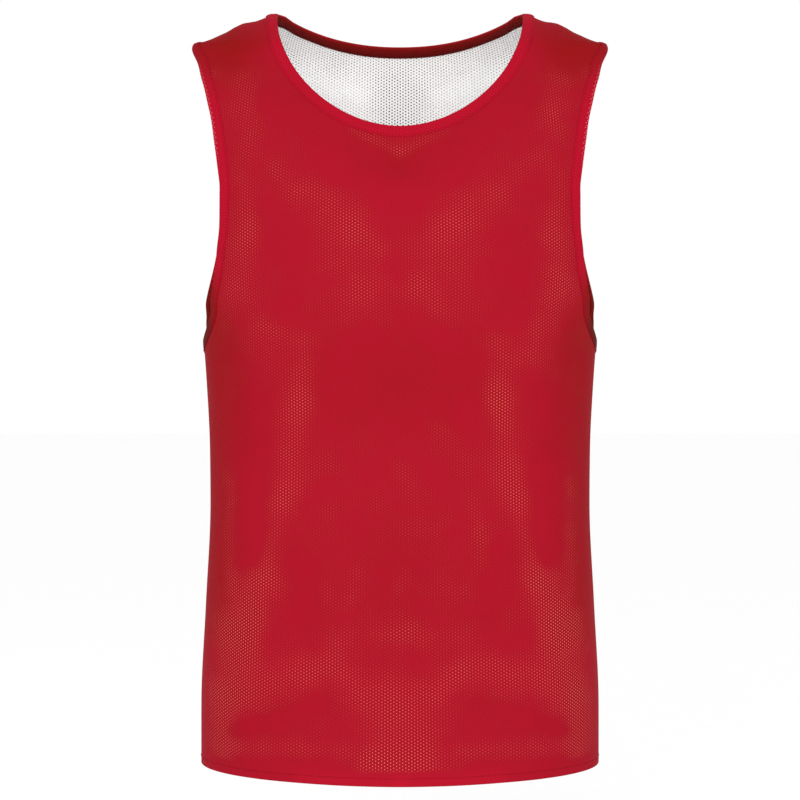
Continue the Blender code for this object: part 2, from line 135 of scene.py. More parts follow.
class Wire:
    """One output in a node tree, which Python's operators turn into Math nodes."""

    def __init__(self, shop, socket):
        self.shop, self.socket = shop, socket

    def __add__(self, other):
        return self.shop.maths("ADD", self, other)

    def __sub__(self, other):
        return self.shop.maths("SUBTRACT", self, other)

    def __rsub__(self, other):
        return self.shop.maths("SUBTRACT", other, self)

    def __mul__(self, other):
        return self.shop.maths("MULTIPLY", self, other)

    def __truediv__(self, other):
        return self.shop.maths("DIVIDE", self, other)

    def beside(self, out):
        """Another output of the same node."""
        return Wire(self.shop, self.socket.node.outputs[out])

    __radd__, __rmul__ = __add__, __mul__


class Shop:
    """Makes the nodes of one material."""

    def __init__(self, name):
        self.material = bpy.data.materials.new(name)
        self.material.use_nodes = True
        self.tree = self.material.node_tree
        self.tree.nodes.clear()

    def node(self, kind, settings=None, sockets=None, out=0):
        """One node of any kind, given as the wire from its output."""
        made = self.tree.nodes.new(kind)
        for name, value in (settings or {}).items():
            setattr(made, name, value)
        for name, value in (sockets or {}).items():
            if isinstance(value, Wire):
                self.tree.links.new(value.socket, made.inputs[name])
            else:
                made.inputs[name].default_value = value
        return Wire(self, made.outputs[out]) if made.outputs else None

    def maths(self, operation, *values):
        """One Math node.  Each value is a wire or a number."""
        return self.node("ShaderNodeMath", {"operation": operation}, dict(enumerate(values)))

    def limited(self, value):
        """The value kept between 0 and 1."""
        return self.maths("MINIMUM", self.maths("MAXIMUM", value, 0.0), 1.0)

    def smooth(self, value, start, end):
        """0 at start and before it, 1 at end and past it, and soft between them."""
        return self.node("ShaderNodeMapRange", {"interpolation_type": "SMOOTHSTEP"},
                         {"Value": value, "From Min": start, "From Max": end})

    def mix(self, factor, first, second):
        """One colour turning into another.  Each is a wire or (red, green, blue), linear."""
        first, second = (colour if isinstance(colour, Wire) else (*colour, 1.0)
                         for colour in (first, second))
        return self.node("ShaderNodeMix", {"data_type": "RGBA"},
                         {0: factor, 6: first, 7: second}, out=2)

    def noise(self, place, scale, detail):
        """Even noise round 0.5."""
        return self.node("ShaderNodeTexNoise", None,
                         {"Vector": place, "Scale": scale, "Detail": detail})

    def attribute(self, name):
        """A value kept on the points of the mesh."""
        return self.node("ShaderNodeAttribute", {"attribute_name": name}, out="Fac")

    def finish(self, colour, roughness, height, depth):
        """The cloth shader itself, with its dents.  Knit this matt has next to no gloss."""
        normal = self.node("ShaderNodeBump", None,
                           {"Strength": 1.0, "Distance": depth, "Height": height})
        cloth = self.node("ShaderNodeBsdfPrincipled", None,
                          {"Base Color": colour, "Roughness": roughness, "Normal": normal,
                           "Specular IOR Level": FAINT_GLOSS})
        self.node("ShaderNodeOutputMaterial", None, {"Surface": cloth})
        return self.material


print("shop ready")

# %% [markdown]
# ## The mesh cloth
#
# The cloth is knitted with small round eyelets in staggered columns, 2.65 mm from column to
# column and 2.9 mm down each column. The whole bib has some fifty thousand of them, which is
# why they are painted and dented rather than cut. Two plain grids of points make the staggered
# pattern: the second lies half a step across and half a step down from the first.
#
# Through an eyelet one sees the other shirt. Where a white thread lies behind it, the eyelet is a
# light pink dot. Where two eyelets lie behind each other, it nearly vanishes. The two shirts slip
# over each other as they hang, so the dots come and go in broad soft bands. Those bands follow
# the cloth, so they are drawn as strokes on the panel, kept on its points as the attribute
# `dots`.

# %% The staggered eyelets
EYELET_ACROSS = 2.65           # from one column to the next, in millimetres
EYELET_DOWN = 2.90             # from one eyelet to the next in a column
EYELET_RADIUS = 0.56
EYELET_RIM = 0.14              # half the width of the soft rim
STRAY = 0.5 * MM               # how far an eyelet may lie off the even pattern


def cut_place(shop):
    """The place on the flat cut, and a little uneven in millimetres across and along it."""
    uv = shop.node("ShaderNodeUVMap", {"uv_map": "cut"})
    stray = shop.node("ShaderNodeTexNoise", {"noise_dimensions": "2D"},
                      {"Vector": uv, "Scale": 140.0, "Detail": 1.0}, out="Color")
    moved = shop.node("ShaderNodeVectorMath", {"operation": "MULTIPLY_ADD"},
                      {0: stray, 1: (STRAY, STRAY, 0.0), 2: uv})
    across = shop.node("ShaderNodeSeparateXYZ", None, {0: moved})
    return uv, across * MILLIMETRES, across.beside("Y") * MILLIMETRES


def eyelets(shop, across, along, radius):
    """1 inside the eyelets of a staggered knit, 0 outside, with a soft rim."""
    distances = []
    for shift in (0.0, 0.5):
        x = (shop.maths("FRACT", across / (2 * EYELET_ACROSS) + shift) - 0.5)
        y = (shop.maths("FRACT", along / EYELET_DOWN + shift) - 0.5)
        x = x * (2 * EYELET_ACROSS)
        y = y * EYELET_DOWN
        distances.append(shop.maths("SQRT", x * x + y * y))
    nearest = shop.maths("MINIMUM", *distances)
    return shop.smooth(nearest, radius + EYELET_RIM, radius - EYELET_RIM)


print(f"an eyelet every {EYELET_ACROSS} by {EYELET_DOWN} mm")

# %% [markdown]
# The red and the white cloth are the same knit. Between the eyelets the yarn runs in fine upright
# wales, seen as a faint rib, and the dye is never quite even. A second drawn attribute holds
# painted shading. It is 0 on the flat of the cloth, rises where painted shade makes the cloth
# look a little deeper, as on the shoulders, at the sides and under the arms, and falls below 0
# where the cloth looks lighter: along the front's hem, and as painted light on the lining behind
# the neck.

# %% Mesh cloth in either colour
LIGHTER = 1.18                 # a lighter place's colour, as times the cloth's own
LIGHTEST = 0.96                # and the most that any of its three numbers may be


def mesh_cloth(name, cloth, deep, dot, painted_shade_dot, dot_share, radius=EYELET_RADIUS):
    """Knitted mesh: its colour in the light and deep, the deep one for painted shade and uneven
    dye, and its dots lit and plain, the plain ones painted shade seen into the eyelets.

    dot_share is how much of a dot shows where the attribute `dots` is 0 and no painted shade is
    drawn.
    """
    shop = Shop(name)
    uv, across, along = cut_place(shop)
    holes = eyelets(shop, across, along, radius)
    wales = shop.maths("SINE", across * (2 * math.pi / EYELET_ACROSS)) * 0.5 + 0.5
    fibre = shop.noise(uv, 900.0, 3.0)
    patches = shop.noise(uv, 38.0, 2.0)
    # What is seen of the light dots, and the cloth between them, deeper where painted shade is
    # drawn and lighter where the drawn value is below 0.
    seen = shop.limited(shop.attribute("dots") + (patches - 0.5) * 0.5)
    drawn = shop.attribute("painted_shading_and_tint")
    shade = shop.limited(drawn)
    painted_shading_and_tint = drawn + (fibre - 0.5) * 0.35 + (patches - 0.5) * 0.22 + seen * 0.55
    # The cloth turns to its deep colour, a painted shade, with the drawn painted shading, the
    # dye's unevenness and where light dots are seen.
    body = shop.mix(painted_shading_and_tint, cloth, deep)
    light = [min(LIGHTER * value, LIGHTEST) for value in cloth]
    # Below 0 the cloth is lighter: painted light on the lining, and along the front's hem.
    body = shop.mix(drawn * -1.0, body, light)
    # The dots themselves, and the dents that the eyelets and the wales make. Painted shade also
    # shows more of each dot.
    spot = shop.mix(shop.smooth(seen, 0.0, 0.6), painted_shade_dot, dot)
    shown = holes * (dot_share + 0.35 * shade + (1.0 - dot_share) * seen)
    colour = shop.mix(shown, body, spot)
    height = wales * 0.12 + fibre * 0.30 - holes * (0.3 + 0.7 * seen)
    roughness = 0.78 + (fibre - 0.5) * 0.2
    return shop.finish(colour, roughness, height, 0.25 * MM)


# The red's deep colour and its plain dots are painted shade.
RED_MESH = mesh_cloth("red mesh", cloth=(0.312, 0.0042, 0.0148), deep=(0.226, 0.0042, 0.0042),
                      dot=(0.78, 0.125, 0.115), painted_shade_dot=(0.15, 0.0025, 0.0050),
                      dot_share=0.08)
# On the white both dot colours are painted shade, standing for the shade seen through its
# eyelets.
WHITE_MESH = mesh_cloth("white mesh", cloth=(0.900, 0.885, 0.880), deep=(0.800, 0.786, 0.780),
                        dot=(0.030, 0.034, 0.030), painted_shade_dot=(0.16, 0.16, 0.155),
                        dot_share=0.42, radius=0.64)
print("mesh cloth in red and in white")

# %% [markdown]
# The binding is the same red knit, folded double over the edge and pressed, so its eyelets close
# up to faint dark pricks, the dark painted as the shade inside them. It is a touch brighter than
# the panels. The leg that lies inside the bib is never in the light, so it has painted shade: a
# darker, browner red that deepens towards its free edge. Painted shade also darkens the outer leg
# on the shoulders and most of all under the arms. Beside the fold, on the outer leg, the eyelets
# stay open and look light wherever the attribute `dots` is drawn.

# %% The binding cloth and the thread
BINDING_CUT = 0.0252           # width of the strip before it is folded
PRICK_RADIUS = 0.52            # millimetres
FOLD_FROM, FOLD_TO = 0.45, 0.52    # shares of the strip's width between which it turns in
OPEN_FROM = (0.30, 0.36)       # where across it the open eyelets set in
OPEN_TO = (0.48, 0.42)         # and where they stop


def binding_cloth():
    """The folded strip's cloth.  `strip` runs from 0 at its outer edge to 1 at its inner one."""
    shop = Shop("red binding")
    uv, across, along = cut_place(shop)
    holes = eyelets(shop, along, across, PRICK_RADIUS)
    fibre = shop.noise(uv, 1100.0, 3.0)
    patches = shop.noise(uv, 60.0, 2.0)
    strip = across / (MILLIMETRES * BINDING_CUT)
    inside = shop.smooth(strip, FOLD_FROM, FOLD_TO)
    painted_shading_and_tint = shop.attribute("painted_shading_and_tint") + (fibre - 0.5) * 0.4 + (patches - 0.5) * 0.4
    # Painted shade from the drawn attribute darkens the outer leg, to near black-red under the
    # arms.
    outer = shop.mix(painted_shading_and_tint, (0.368, 0.0030, 0.0170), (0.226, 0.0042, 0.0060))
    outer = shop.mix(shop.smooth(painted_shading_and_tint, 1.0, 2.0), outer, (0.110, 0.0050, 0.0040))
    # The inner leg is painted shade, a darker red that deepens towards its free edge.
    depth = shop.smooth(strip, FOLD_TO, 1.0)
    inner = shop.mix(depth + (patches - 0.5) * 0.4, (0.190, 0.0052, 0.0045),
                     (0.085, 0.0042, 0.0034))
    body = shop.mix(inside, outer, inner)
    # The pricks are painted dark, as shade inside the closed eyelets.
    colour = shop.mix(holes * (0.42 + 0.48 * inside), body, (0.030, 0.0020, 0.0025))
    beside = shop.smooth(strip, *OPEN_FROM) * shop.smooth(strip, *OPEN_TO)
    open_row = holes * beside * shop.attribute("dots")
    colour = shop.mix(open_row, colour, (0.68, 0.200, 0.215))
    height = fibre * 0.4 - holes * 0.5
    return shop.finish(colour, 0.74 + (fibre - 0.5) * 0.2, height, 0.20 * MM)


def thread_finish():
    """Twisted thread in the red of the cloth."""
    shop = Shop("red thread")
    place = shop.node("ShaderNodeTexCoord", out="Object")
    twist = shop.noise(place, 2500.0, 1.0)
    # The thread is painted darker where the twist's bump is low, as shade in its grooves.
    colour = shop.mix(twist, (0.150, 0.0030, 0.0070), (0.330, 0.0060, 0.0170))
    return shop.finish(colour, 0.55 + twist * 0.1, twist, 0.10 * MM)


RED_BINDING = binding_cloth()
RED_THREAD = thread_finish()
print("binding cloth and thread")

# %% [markdown]
# ## The form of the bib
#
# Every piece of the bib lies on one surface, the outer face of the red cloth. It is a stack of
# level rings, wide and deep at the chest, closing to a ridge at the shoulders. Each row of the
# table is one ring, with the sizes that the solids were made from. A smooth curve without bumps
# of its own runs through each column of the table.

# %% The rings of the form
BODY_LENGTH = 0.723
CLOTH = 1.0 * MM               # thickness of a solid panel
GAP = 0.3 * MM                 # between two solid panels
STACK = 2 * CLOTH + GAP        # from the outside of the red to the inside of the white
BINDING_WIDTH = 10.0 * MM
HEM_FOLD = 15.0 * MM           # height of the cloth turned up at the hem
FACE_SIGN = {"front": -1.0, "back": 1.0}

Ring = namedtuple("Ring", "height half_width back_flare front_depth back_depth squareness")
RINGS = (
    Ring(0.0000, 0.1188, 0.000, 0.0060, 0.0120, 2.20),
    Ring(-0.0090, 0.1454, 0.000, 0.0300, 0.0520, 2.25),
    Ring(-0.0190, 0.1684, 0.000, 0.0430, 0.0740, 2.30),
    Ring(-0.0280, 0.1875, 0.000, 0.0520, 0.0840, 2.35),
    Ring(-0.0335, 0.1985, 0.000, 0.0565, 0.0880, 2.40),
    Ring(-0.0380, 0.1998, 0.000, 0.0600, 0.0905, 2.40),
    Ring(-0.0480, 0.2012, -0.0025, 0.0650, 0.0945, 2.40),
    Ring(-0.0700, 0.2106, -0.0138, 0.0760, 0.1010, 2.40),
    Ring(-0.1000, 0.2193, -0.0246, 0.0905, 0.1070, 2.40),
    Ring(-0.1250, 0.2215, -0.0292, 0.1012, 0.1112, 2.42),
    Ring(-0.1500, 0.2177, -0.0284, 0.1110, 0.1150, 2.45),
    Ring(-0.1900, 0.2040, -0.0170, 0.1230, 0.1190, 2.50),
    Ring(-0.2150, 0.1989, -0.0109, 0.1277, 0.1203, 2.50),
    Ring(-0.2350, 0.1967, -0.0058, 0.1310, 0.1210, 2.50),
    Ring(-0.2750, 0.1948, 0.0018, 0.1293, 0.1202, 2.50),
    Ring(-0.2930, 0.1894, 0.0038, 0.1280, 0.1197, 2.51),
    Ring(-0.3170, 0.1878, 0.000, 0.1265, 0.1190, 2.54),
    Ring(-0.3450, 0.1856, 0.000, 0.1255, 0.1170, 2.58),
    Ring(-0.4200, 0.1817, 0.000, 0.1245, 0.1130, 2.65),
    Ring(-0.4700, 0.1812, 0.000, 0.1240, 0.1120, 2.70),
    Ring(-0.5650, 0.1856, 0.000, 0.1260, 0.1150, 2.62),
    Ring(-0.6600, 0.1902, 0.000, 0.1320, 0.1210, 2.44),
    Ring(-0.7230, 0.1905, 0.000, 0.1380, 0.1260, 2.20),
)


def monotone_slopes(at, values):
    """Slopes for a cubic through the values that has no bumps of its own."""
    step = np.diff(at)[:, None]
    rise = np.diff(values, axis=0) / step
    slopes = np.vstack([rise[:1], np.zeros_like(values[1:-1]), rise[-1:]])
    before, after = rise[:-1], rise[1:]
    near, far = 2 * step[1:] + step[:-1], step[1:] + 2 * step[:-1]
    same_way = before * after > 0
    safe_before = np.where(same_way, before, 1.0)
    safe_after = np.where(same_way, after, 1.0)
    mean = (near + far) / (near / safe_before + far / safe_after)
    slopes[1:-1] = np.where(same_way, mean, 0.0)
    return slopes


DEPTHS = np.array([-ring.height for ring in RINGS])
COLUMNS = np.array([ring[1:] for ring in RINGS])
SLOPES = monotone_slopes(DEPTHS, COLUMNS)
print(f"{len(RINGS)} rings over {BODY_LENGTH * MILLIMETRES:.0f} mm")

# %% [markdown]
# A place on the form is a pair: its share of the way round, from 0 at the centre line to 1 at
# the side or shoulder seam, and its height. The functions below take whole arrays of places,
# which is what makes a panel of thousands of points quick to work out.

# %% From places to points
ANGLES = np.linspace(0.0, math.pi / 2, 97)
SINES, COSINES = np.sin(ANGLES), np.clip(np.cos(ANGLES), 0.0, 1.0)


def rings_at(face, heights):
    """Half width, depth and squareness of the form at each height."""
    below = np.clip(-np.asarray(heights, float), DEPTHS[0], DEPTHS[-1])
    row = np.clip(np.searchsorted(DEPTHS, below, side="right") - 1, 0, len(DEPTHS) - 2)
    step = (DEPTHS[row + 1] - DEPTHS[row])[:, None]
    t = ((below - DEPTHS[row]) / step[:, 0])[:, None]
    values = ((1 + 2 * t) * (1 - t) ** 2 * COLUMNS[row]
              + t * (1 - t) ** 2 * step * SLOPES[row]
              + t * t * (3 - 2 * t) * COLUMNS[row + 1]
              + t * t * (t - 1) * step * SLOPES[row + 1])
    half_width, flare, front_depth, back_depth, squareness = values.T
    if face == "back":
        return half_width + flare, back_depth, squareness
    return half_width, front_depth, squareness


def quarter_rings(face, heights):
    """Points of a quarter of each level, centre to seam, and the share of the way to each."""
    half_width, depth, squareness = rings_at(face, heights)
    power = (2.0 / squareness)[:, None]
    x = half_width[:, None] * SINES ** power
    y = depth[:, None] * COSINES ** power
    y[:, -1] = 0.0
    length = np.cumsum(np.hypot(np.diff(x), np.diff(y)), axis=1)
    shares = np.hstack([np.zeros((len(x), 1)), length]) / length[:, -1:]
    return x, y, shares


def look_up(wanted, at, values):
    """Each row's value at the wanted place, between the two nearest entries of the row."""
    upper = np.clip((at < wanted[:, None]).sum(axis=1), 1, at.shape[1] - 1)[:, None]
    low, high = (np.take_along_axis(at, upper + k, 1)[:, 0] for k in (-1, 0))
    first, second = (np.take_along_axis(values, upper + k, 1)[:, 0] for k in (-1, 0))
    t = np.clip((wanted - low) / np.maximum(high - low, 1e-12), 0.0, 1.0)
    return first + t * (second - first)


def base_points(face, shares, heights):
    """The form without its folds.  The two halves stand a seam gap apart."""
    shares, heights = np.atleast_1d(shares).astype(float), np.atleast_1d(heights).astype(float)
    x, y, at = quarter_rings(face, heights)
    along = np.minimum(np.abs(shares), 1.0)
    depth = FACE_SIGN[face] * (GAP / 2 + look_up(along, at, y))
    return np.column_stack([np.sign(shares) * look_up(along, at, x), depth, heights])


def tangents(face, shares, heights):
    """How the form moves with the share and with the height."""
    step_share, step_z = 0.004, 0.0008
    low, high = shares - step_share, np.minimum(shares + step_share, 1.0)
    across = base_points(face, high, heights) - base_points(face, low, heights)
    across /= (high - low)[:, None]
    top, bottom = np.minimum(heights + step_z, 0.0), np.maximum(heights - step_z, -BODY_LENGTH)
    upward = base_points(face, shares, top) - base_points(face, shares, bottom)
    upward /= (top - bottom)[:, None]
    at_seam = shares >= 1.0
    size = np.linalg.norm(across[at_seam], axis=1)
    across[at_seam] = np.column_stack([0 * size, -FACE_SIGN[face] * size, 0 * size])
    return across, upward


print("chest depth", np.round(rings_at("front", [-0.235])[1], 3))

# %% [markdown]
# The edges of a panel are curves of places. The neckline is a flattened half ellipse, the
# armhole a taller one with a squarer bottom, and between them runs the shoulder seam.

# %% Edges of the panels
NECK_HALF_WIDTH, FRONT_NECK_DROP, BACK_NECK_DROP = 0.1188, 0.1200, 0.0225
FRONT_NECK_ROUND, BACK_NECK_ROUND = 1.9, 2.1
SHOULDER_TIP_Z, UNDERARM_Z = -0.0335, -0.317
ARMHOLE_DEPTH = {"front": 0.085, "back": 0.055}
ARMHOLE_ROUND_TOP = {"front": 1.5, "back": 2.3}
ARMHOLE_ROUND_BOTTOM = 2.7
HEM_LIFT, HEM_LIFT_POWER = 4.5 * MM, 1.5


def neckline(face, t):
    """From the centre, t = 0, to the high point of the shoulder, t = 1."""
    angle = t * math.pi / 2
    if face == "front":
        power = 2.0 / FRONT_NECK_ROUND
        x = NECK_HALF_WIDTH * np.sin(angle) ** power
        z = -FRONT_NECK_DROP * np.clip(np.cos(angle), 0.0, 1.0) ** power
    else:
        x = NECK_HALF_WIDTH * np.sin(angle)
        z = -BACK_NECK_DROP * (1.0 - np.sin(angle) ** BACK_NECK_ROUND)
    ring_x, _, at = quarter_rings(face, z)
    return np.where(t >= 1.0, 1.0, look_up(x, ring_x, at)), np.where(t >= 1.0, 0.0, z)


def armhole(face, t):
    """From the underarm, t = 0, to the outer end of the shoulder seam, t = 1."""
    middle = (SHOULDER_TIP_Z + UNDERARM_Z) / 2
    half_height = (SHOULDER_TIP_Z - UNDERARM_Z) / 2
    angle = (t - 0.5) * math.pi
    power = 2.0 / np.where(t > 0.5, ARMHOLE_ROUND_TOP[face], ARMHOLE_ROUND_BOTTOM)
    z = middle + np.sign(angle) * np.abs(np.sin(angle)) ** power * half_height
    depth = ARMHOLE_DEPTH[face] * np.clip(np.cos(angle), 0.0, 1.0) ** power
    _, ring_y, at = quarter_rings(face, z)
    share = look_up(depth, ring_y[:, ::-1], at[:, ::-1])
    return np.where((t <= 0.0) | (t >= 1.0), 1.0, share), z


def hem_height(x):
    """The level of the hem's fold, which rises a little from the centre to the sides."""
    out = np.minimum(np.abs(x) / RINGS[-1].half_width, 1.0)
    return HEM_LIFT * out ** HEM_LIFT_POWER - BODY_LENGTH


def straight(share, start_z, end_z):
    """A stretch of a line straight up or down the form."""
    return lambda face, t: (np.full_like(t, share), start_z + t * (end_z - start_z))


def way_along(points):
    """How far each point of a chain is from the first one, measured along the chain."""
    return np.concatenate([[0.0], np.cumsum(np.linalg.norm(np.diff(points, axis=0), axis=1))])


def spread(face, curve, shares):
    """Places on a curve at the given shares of its length."""
    steps = np.linspace(0.0, 1.0, 401)
    length = way_along(base_points(face, *curve(face, steps)))
    return np.column_stack(curve(face, np.interp(np.asarray(shares) * length[-1], length, steps)))


def walk(face, share, start_z, direction, distance):
    """The height reached after a distance straight up or down the form from start_z."""
    heights = start_z + direction * np.arange(0, 600) * 0.1 * MM
    walked = way_along(base_points(face, np.full_like(heights, share), heights))
    return float(np.interp(distance, walked, heights))


def slide(face, places, moves):
    """Move places by steps in space, kept to the form."""
    across, upward = tangents(face, places[:, 0], places[:, 1])
    aa, uu = (across * across).sum(1), (upward * upward).sum(1)
    au, am, um = (across * upward).sum(1), (across * moves).sum(1), (upward * moves).sum(1)
    scale = aa * uu - au * au
    shift = np.column_stack([(uu * am - au * um) / scale, (aa * um - au * am) / scale])
    moved = places + shift
    return np.column_stack([np.minimum(moved[:, 0], 1.0), moved[:, 1]])


def inset(face, places, runs, width):
    """Places a given width inside an edge that runs along runs, square to it on the form."""
    hops = 6
    for _ in range(hops):
        inward = np.cross(np.cross(*tangents(face, places[:, 0], places[:, 1])), runs)
        inward *= width / hops / np.linalg.norm(inward, axis=1)[:, None]
        places = slide(face, places, inward)
    return places


for edge_name, curve in (("half the front neckline", neckline), ("front armhole", armhole)):
    path = base_points("front", *spread("front", curve, np.linspace(0, 1, 200)).T)
    print(f"{edge_name}: {way_along(path)[-1] * MILLIMETRES:.0f} mm")

# %% [markdown]
# ## Soft folds, drawn as strokes
#
# Cloth over a body shows a few soft ridges and hollows: from the shoulder towards the breast,
# down the side where the panel turns, and above the hem. Each is one stroke, a line across the
# panel as seen from the front, with a width and a rise. Its twin on the other side is a little
# weaker or stronger, because no garment hangs evenly. The first ten are in the solids too. The
# rest are finer and only in the cloth.

# %% The strokes that shape the cloth
Stroke = namedtuple("Stroke", "face x0 z0 x1 z1 width amount twin")
FOLDS = (
    Stroke("front", 0.108, -0.098, 0.026, -0.176, 0.020, 0.0028, 1.00),
    Stroke("front", 0.070, -0.125, 0.012, -0.150, 0.018, -0.0024, 1.00),
    Stroke("front", 0.124, -0.320, 0.118, -0.560, 0.032, 0.0030, 0.90),
    Stroke("front", 0.150, -0.345, 0.085, -0.430, 0.018, -0.0018, 0.70),
    Stroke("front", 0.060, -0.585, 0.000, -0.592, 0.028, 0.0016, 1.00),
    Stroke("front", 0.090, -0.700, 0.078, -0.600, 0.026, -0.0022, 0.80),
    Stroke("back", 0.100, -0.075, 0.040, -0.210, 0.024, 0.0026, 0.80),
    Stroke("back", 0.128, -0.330, 0.105, -0.540, 0.030, 0.0032, 1.15),
    Stroke("back", 0.055, -0.400, 0.060, -0.640, 0.030, -0.0028, 0.75),
    Stroke("back", 0.110, -0.710, 0.098, -0.560, 0.026, 0.0024, 0.70),
)
FINE_FOLDS = (
    Stroke("front", 0.168, -0.075, 0.142, -0.150, 0.009, 0.0009, 0.80),
    Stroke("front", 0.160, -0.290, 0.128, -0.350, 0.008, 0.0010, 0.70),
    Stroke("front", 0.165, -0.330, 0.140, -0.420, 0.009, -0.0009, 1.20),
    Stroke("front", 0.112, -0.300, 0.113, -0.500, 0.007, 0.0007, 0.90),
    Stroke("front", 0.040, -0.530, 0.050, -0.660, 0.012, 0.0008, 0.60),
    Stroke("front", 0.140, -0.600, 0.150, -0.700, 0.012, 0.0009, 1.10),
    Stroke("front", 0.125, -0.225, 0.095, -0.300, 0.012, -0.0008, 0.90),
    Stroke("front", 0.030, -0.255, 0.060, -0.285, 0.014, -0.0007, 0.80),
    Stroke("back", 0.165, -0.080, 0.135, -0.160, 0.009, 0.0009, 0.90),
    Stroke("back", 0.155, -0.300, 0.120, -0.370, 0.009, 0.0011, 0.75),
    Stroke("back", 0.020, -0.060, 0.015, -0.180, 0.012, -0.0008, 0.80),
    Stroke("back", 0.150, -0.450, 0.140, -0.600, 0.010, -0.0010, 1.10),
    Stroke("back", 0.030, -0.560, 0.035, -0.690, 0.012, 0.0010, 0.60),
    Stroke("back", 0.150, -0.620, 0.148, -0.705, 0.012, 0.0009, 0.80),
)


def soft(distance, reach):
    """1 where the distance is 0, and nearly 0 from twice the reach on."""
    return np.exp(-(distance / reach) ** 2)


def strokes_at(strokes, face, x, z):
    """The sum of a face's strokes at each place, seen from the front."""
    place, total = np.column_stack([x, z]), np.zeros(len(x))
    for stroke in strokes:
        if stroke.face != face:
            continue
        for side, amount in ((1.0, stroke.amount), (-1.0, stroke.amount * stroke.twin)):
            start = np.array([side * stroke.x0, stroke.z0])
            run = np.array([side * stroke.x1, stroke.z1]) - start
            along = np.clip((place - start) @ run / (run @ run), 0.0, 1.0)
            away = np.linalg.norm(place - start - along[:, None] * run, axis=1)
            total += amount * soft(away, stroke.width)
    return total


# The top of the shoulder seam isn't quite straight: (metres from the middle, rise in mm).
RIDGE = np.array(((0.104, 0.0), (0.111, 1.3), (0.1188, -1.2), (0.125, 0.5), (0.131, -0.4),
                  (0.1385, -1.5), (0.150, 1.0), (0.158, 0.5), (0.166, -0.9), (0.181, -0.9),
                  (0.1885, 0.0), (0.196, 1.5), (0.200, 1.0))) * (1.0, MM)
RIDGE_FADE = 9 * MM            # how far down the ridge's ups and downs reach
SHOULDER_RINGS = 5             # rings from the high point to the outer end of the seam
FOLD_FADE = 6                  # the higher, the nearer to a seam a fold goes on


def ridge_rise(x, z):
    """The small ups and downs of the shoulder ridge, fading below it."""
    top = np.interp(np.abs(x), COLUMNS[:SHOULDER_RINGS, 0], -DEPTHS[:SHOULDER_RINGS])
    below = np.maximum(top - z, 0.0)
    return np.interp(np.abs(x), *RIDGE.T) * soft(below, RIDGE_FADE)


def form_points(face, shares, heights):
    """Points of the finished surface and their normals.  Folds die out at the seams."""
    points = base_points(face, shares, heights)
    across, upward = tangents(face, np.abs(shares), heights)
    normals = -FACE_SIGN[face] * np.cross(across, upward)
    normals /= np.linalg.norm(normals, axis=1)[:, None]
    normals[:, 0] *= np.where(shares < 0.0, -1.0, 1.0)
    fade = 1.0 - np.minimum(np.abs(shares), 1.0) ** FOLD_FADE
    rise = strokes_at(FOLDS + FINE_FOLDS, face, points[:, 0], points[:, 2]) * fade
    points[:, 2] += ridge_rise(points[:, 0], points[:, 2])
    return points + normals * rise[:, None], normals


print(f"{len(FOLDS)} main folds and {len(FINE_FOLDS)} fine ones, each with its twin")

# %% [markdown]
# ## Laying out a panel
#
# One half of a panel is a grid of places. Its four sides are the hem, the centre line, the side
# seam with the armhole above it, and the neckline with the shoulder seam beside it. The places
# between are blended from the four sides, and then each moves a few times towards the middle of
# its neighbours, which evens out the squares near the shoulder.

# %% A grid of places
Counts = namedtuple("Counts", "neck shoulder side arm")
COARSE, FINE = Counts(10, 5, 16, 15), Counts(40, 20, 64, 60)
COARSE_ROUNDS, FINE_ROUNDS = 40, 5
ROW_DIP = 0.16                 # rows run up to the underarm from this far below it


def stops(count):
    """The ends of a number of equal steps from 0 to 1."""
    return np.linspace(0.0, 1.0, count + 1)


def panel_edges(face, counts):
    """The hem, the top, the centre line and the right-hand side of half a panel."""
    columns = counts.neck + counts.shoulder + 1
    shares = np.linspace(0.0, 1.0, columns)
    x = base_points(face, shares, np.full(columns, -BODY_LENGTH))[:, 0]
    hem = np.column_stack([shares, hem_height(x)])
    neck = spread(face, neckline, stops(counts.neck))
    shoulder = spread(face, straight(1.0, 0.0, SHOULDER_TIP_Z), stops(counts.shoulder))
    side = spread(face, straight(1.0, hem[-1, 1], UNDERARM_Z), stops(counts.side))
    arm = spread(face, armhole, stops(counts.arm))
    dip_z = UNDERARM_Z - ROW_DIP
    lower = spread(face, straight(0.0, hem[0, 1], dip_z), stops(counts.side))
    upper = spread(face, straight(0.0, dip_z, neck[0, 1]), stops(counts.arm))
    return (hem, np.vstack([neck, shoulder[1:]]), np.vstack([lower, upper[1:]]),
            np.vstack([side, arm[1:]]))


def blended(face, hem, top, centre, right):
    """A grid of places between four edges."""
    low, high, near, far = (base_points(face, *line.T) for line in (hem, top, centre, right))
    out = np.linspace(0.0, 1.0, len(top))[1:-1, None]
    grid = [hem]
    for j in range(1, len(right) - 1):
        up = ((centre[j, 1] - hem[0, 1]) / (centre[-1, 1] - hem[0, 1])) ** 2
        left_pull = near[j] - (1 - up) * low[0] - up * high[0]
        right_pull = far[j] - (1 - up) * low[-1] - up * high[-1]
        points = (1 - up) * low[1:-1] + up * high[1:-1] + (1 - out) * left_pull + out * right_pull
        grid.append(np.vstack([centre[j], places_towards(face, points), right[j]]))
    return np.array(grid + [top])


def places_towards(face, points):
    """The places that lie level with points, out from the body's axis."""
    x, y, shares = quarter_rings(face, points[:, 2])
    bearing = np.arctan2(points[:, 0], np.maximum(np.abs(points[:, 1]) - GAP / 2, 0.0))
    return np.column_stack([look_up(bearing, np.arctan2(x, y), shares), points[:, 2]])


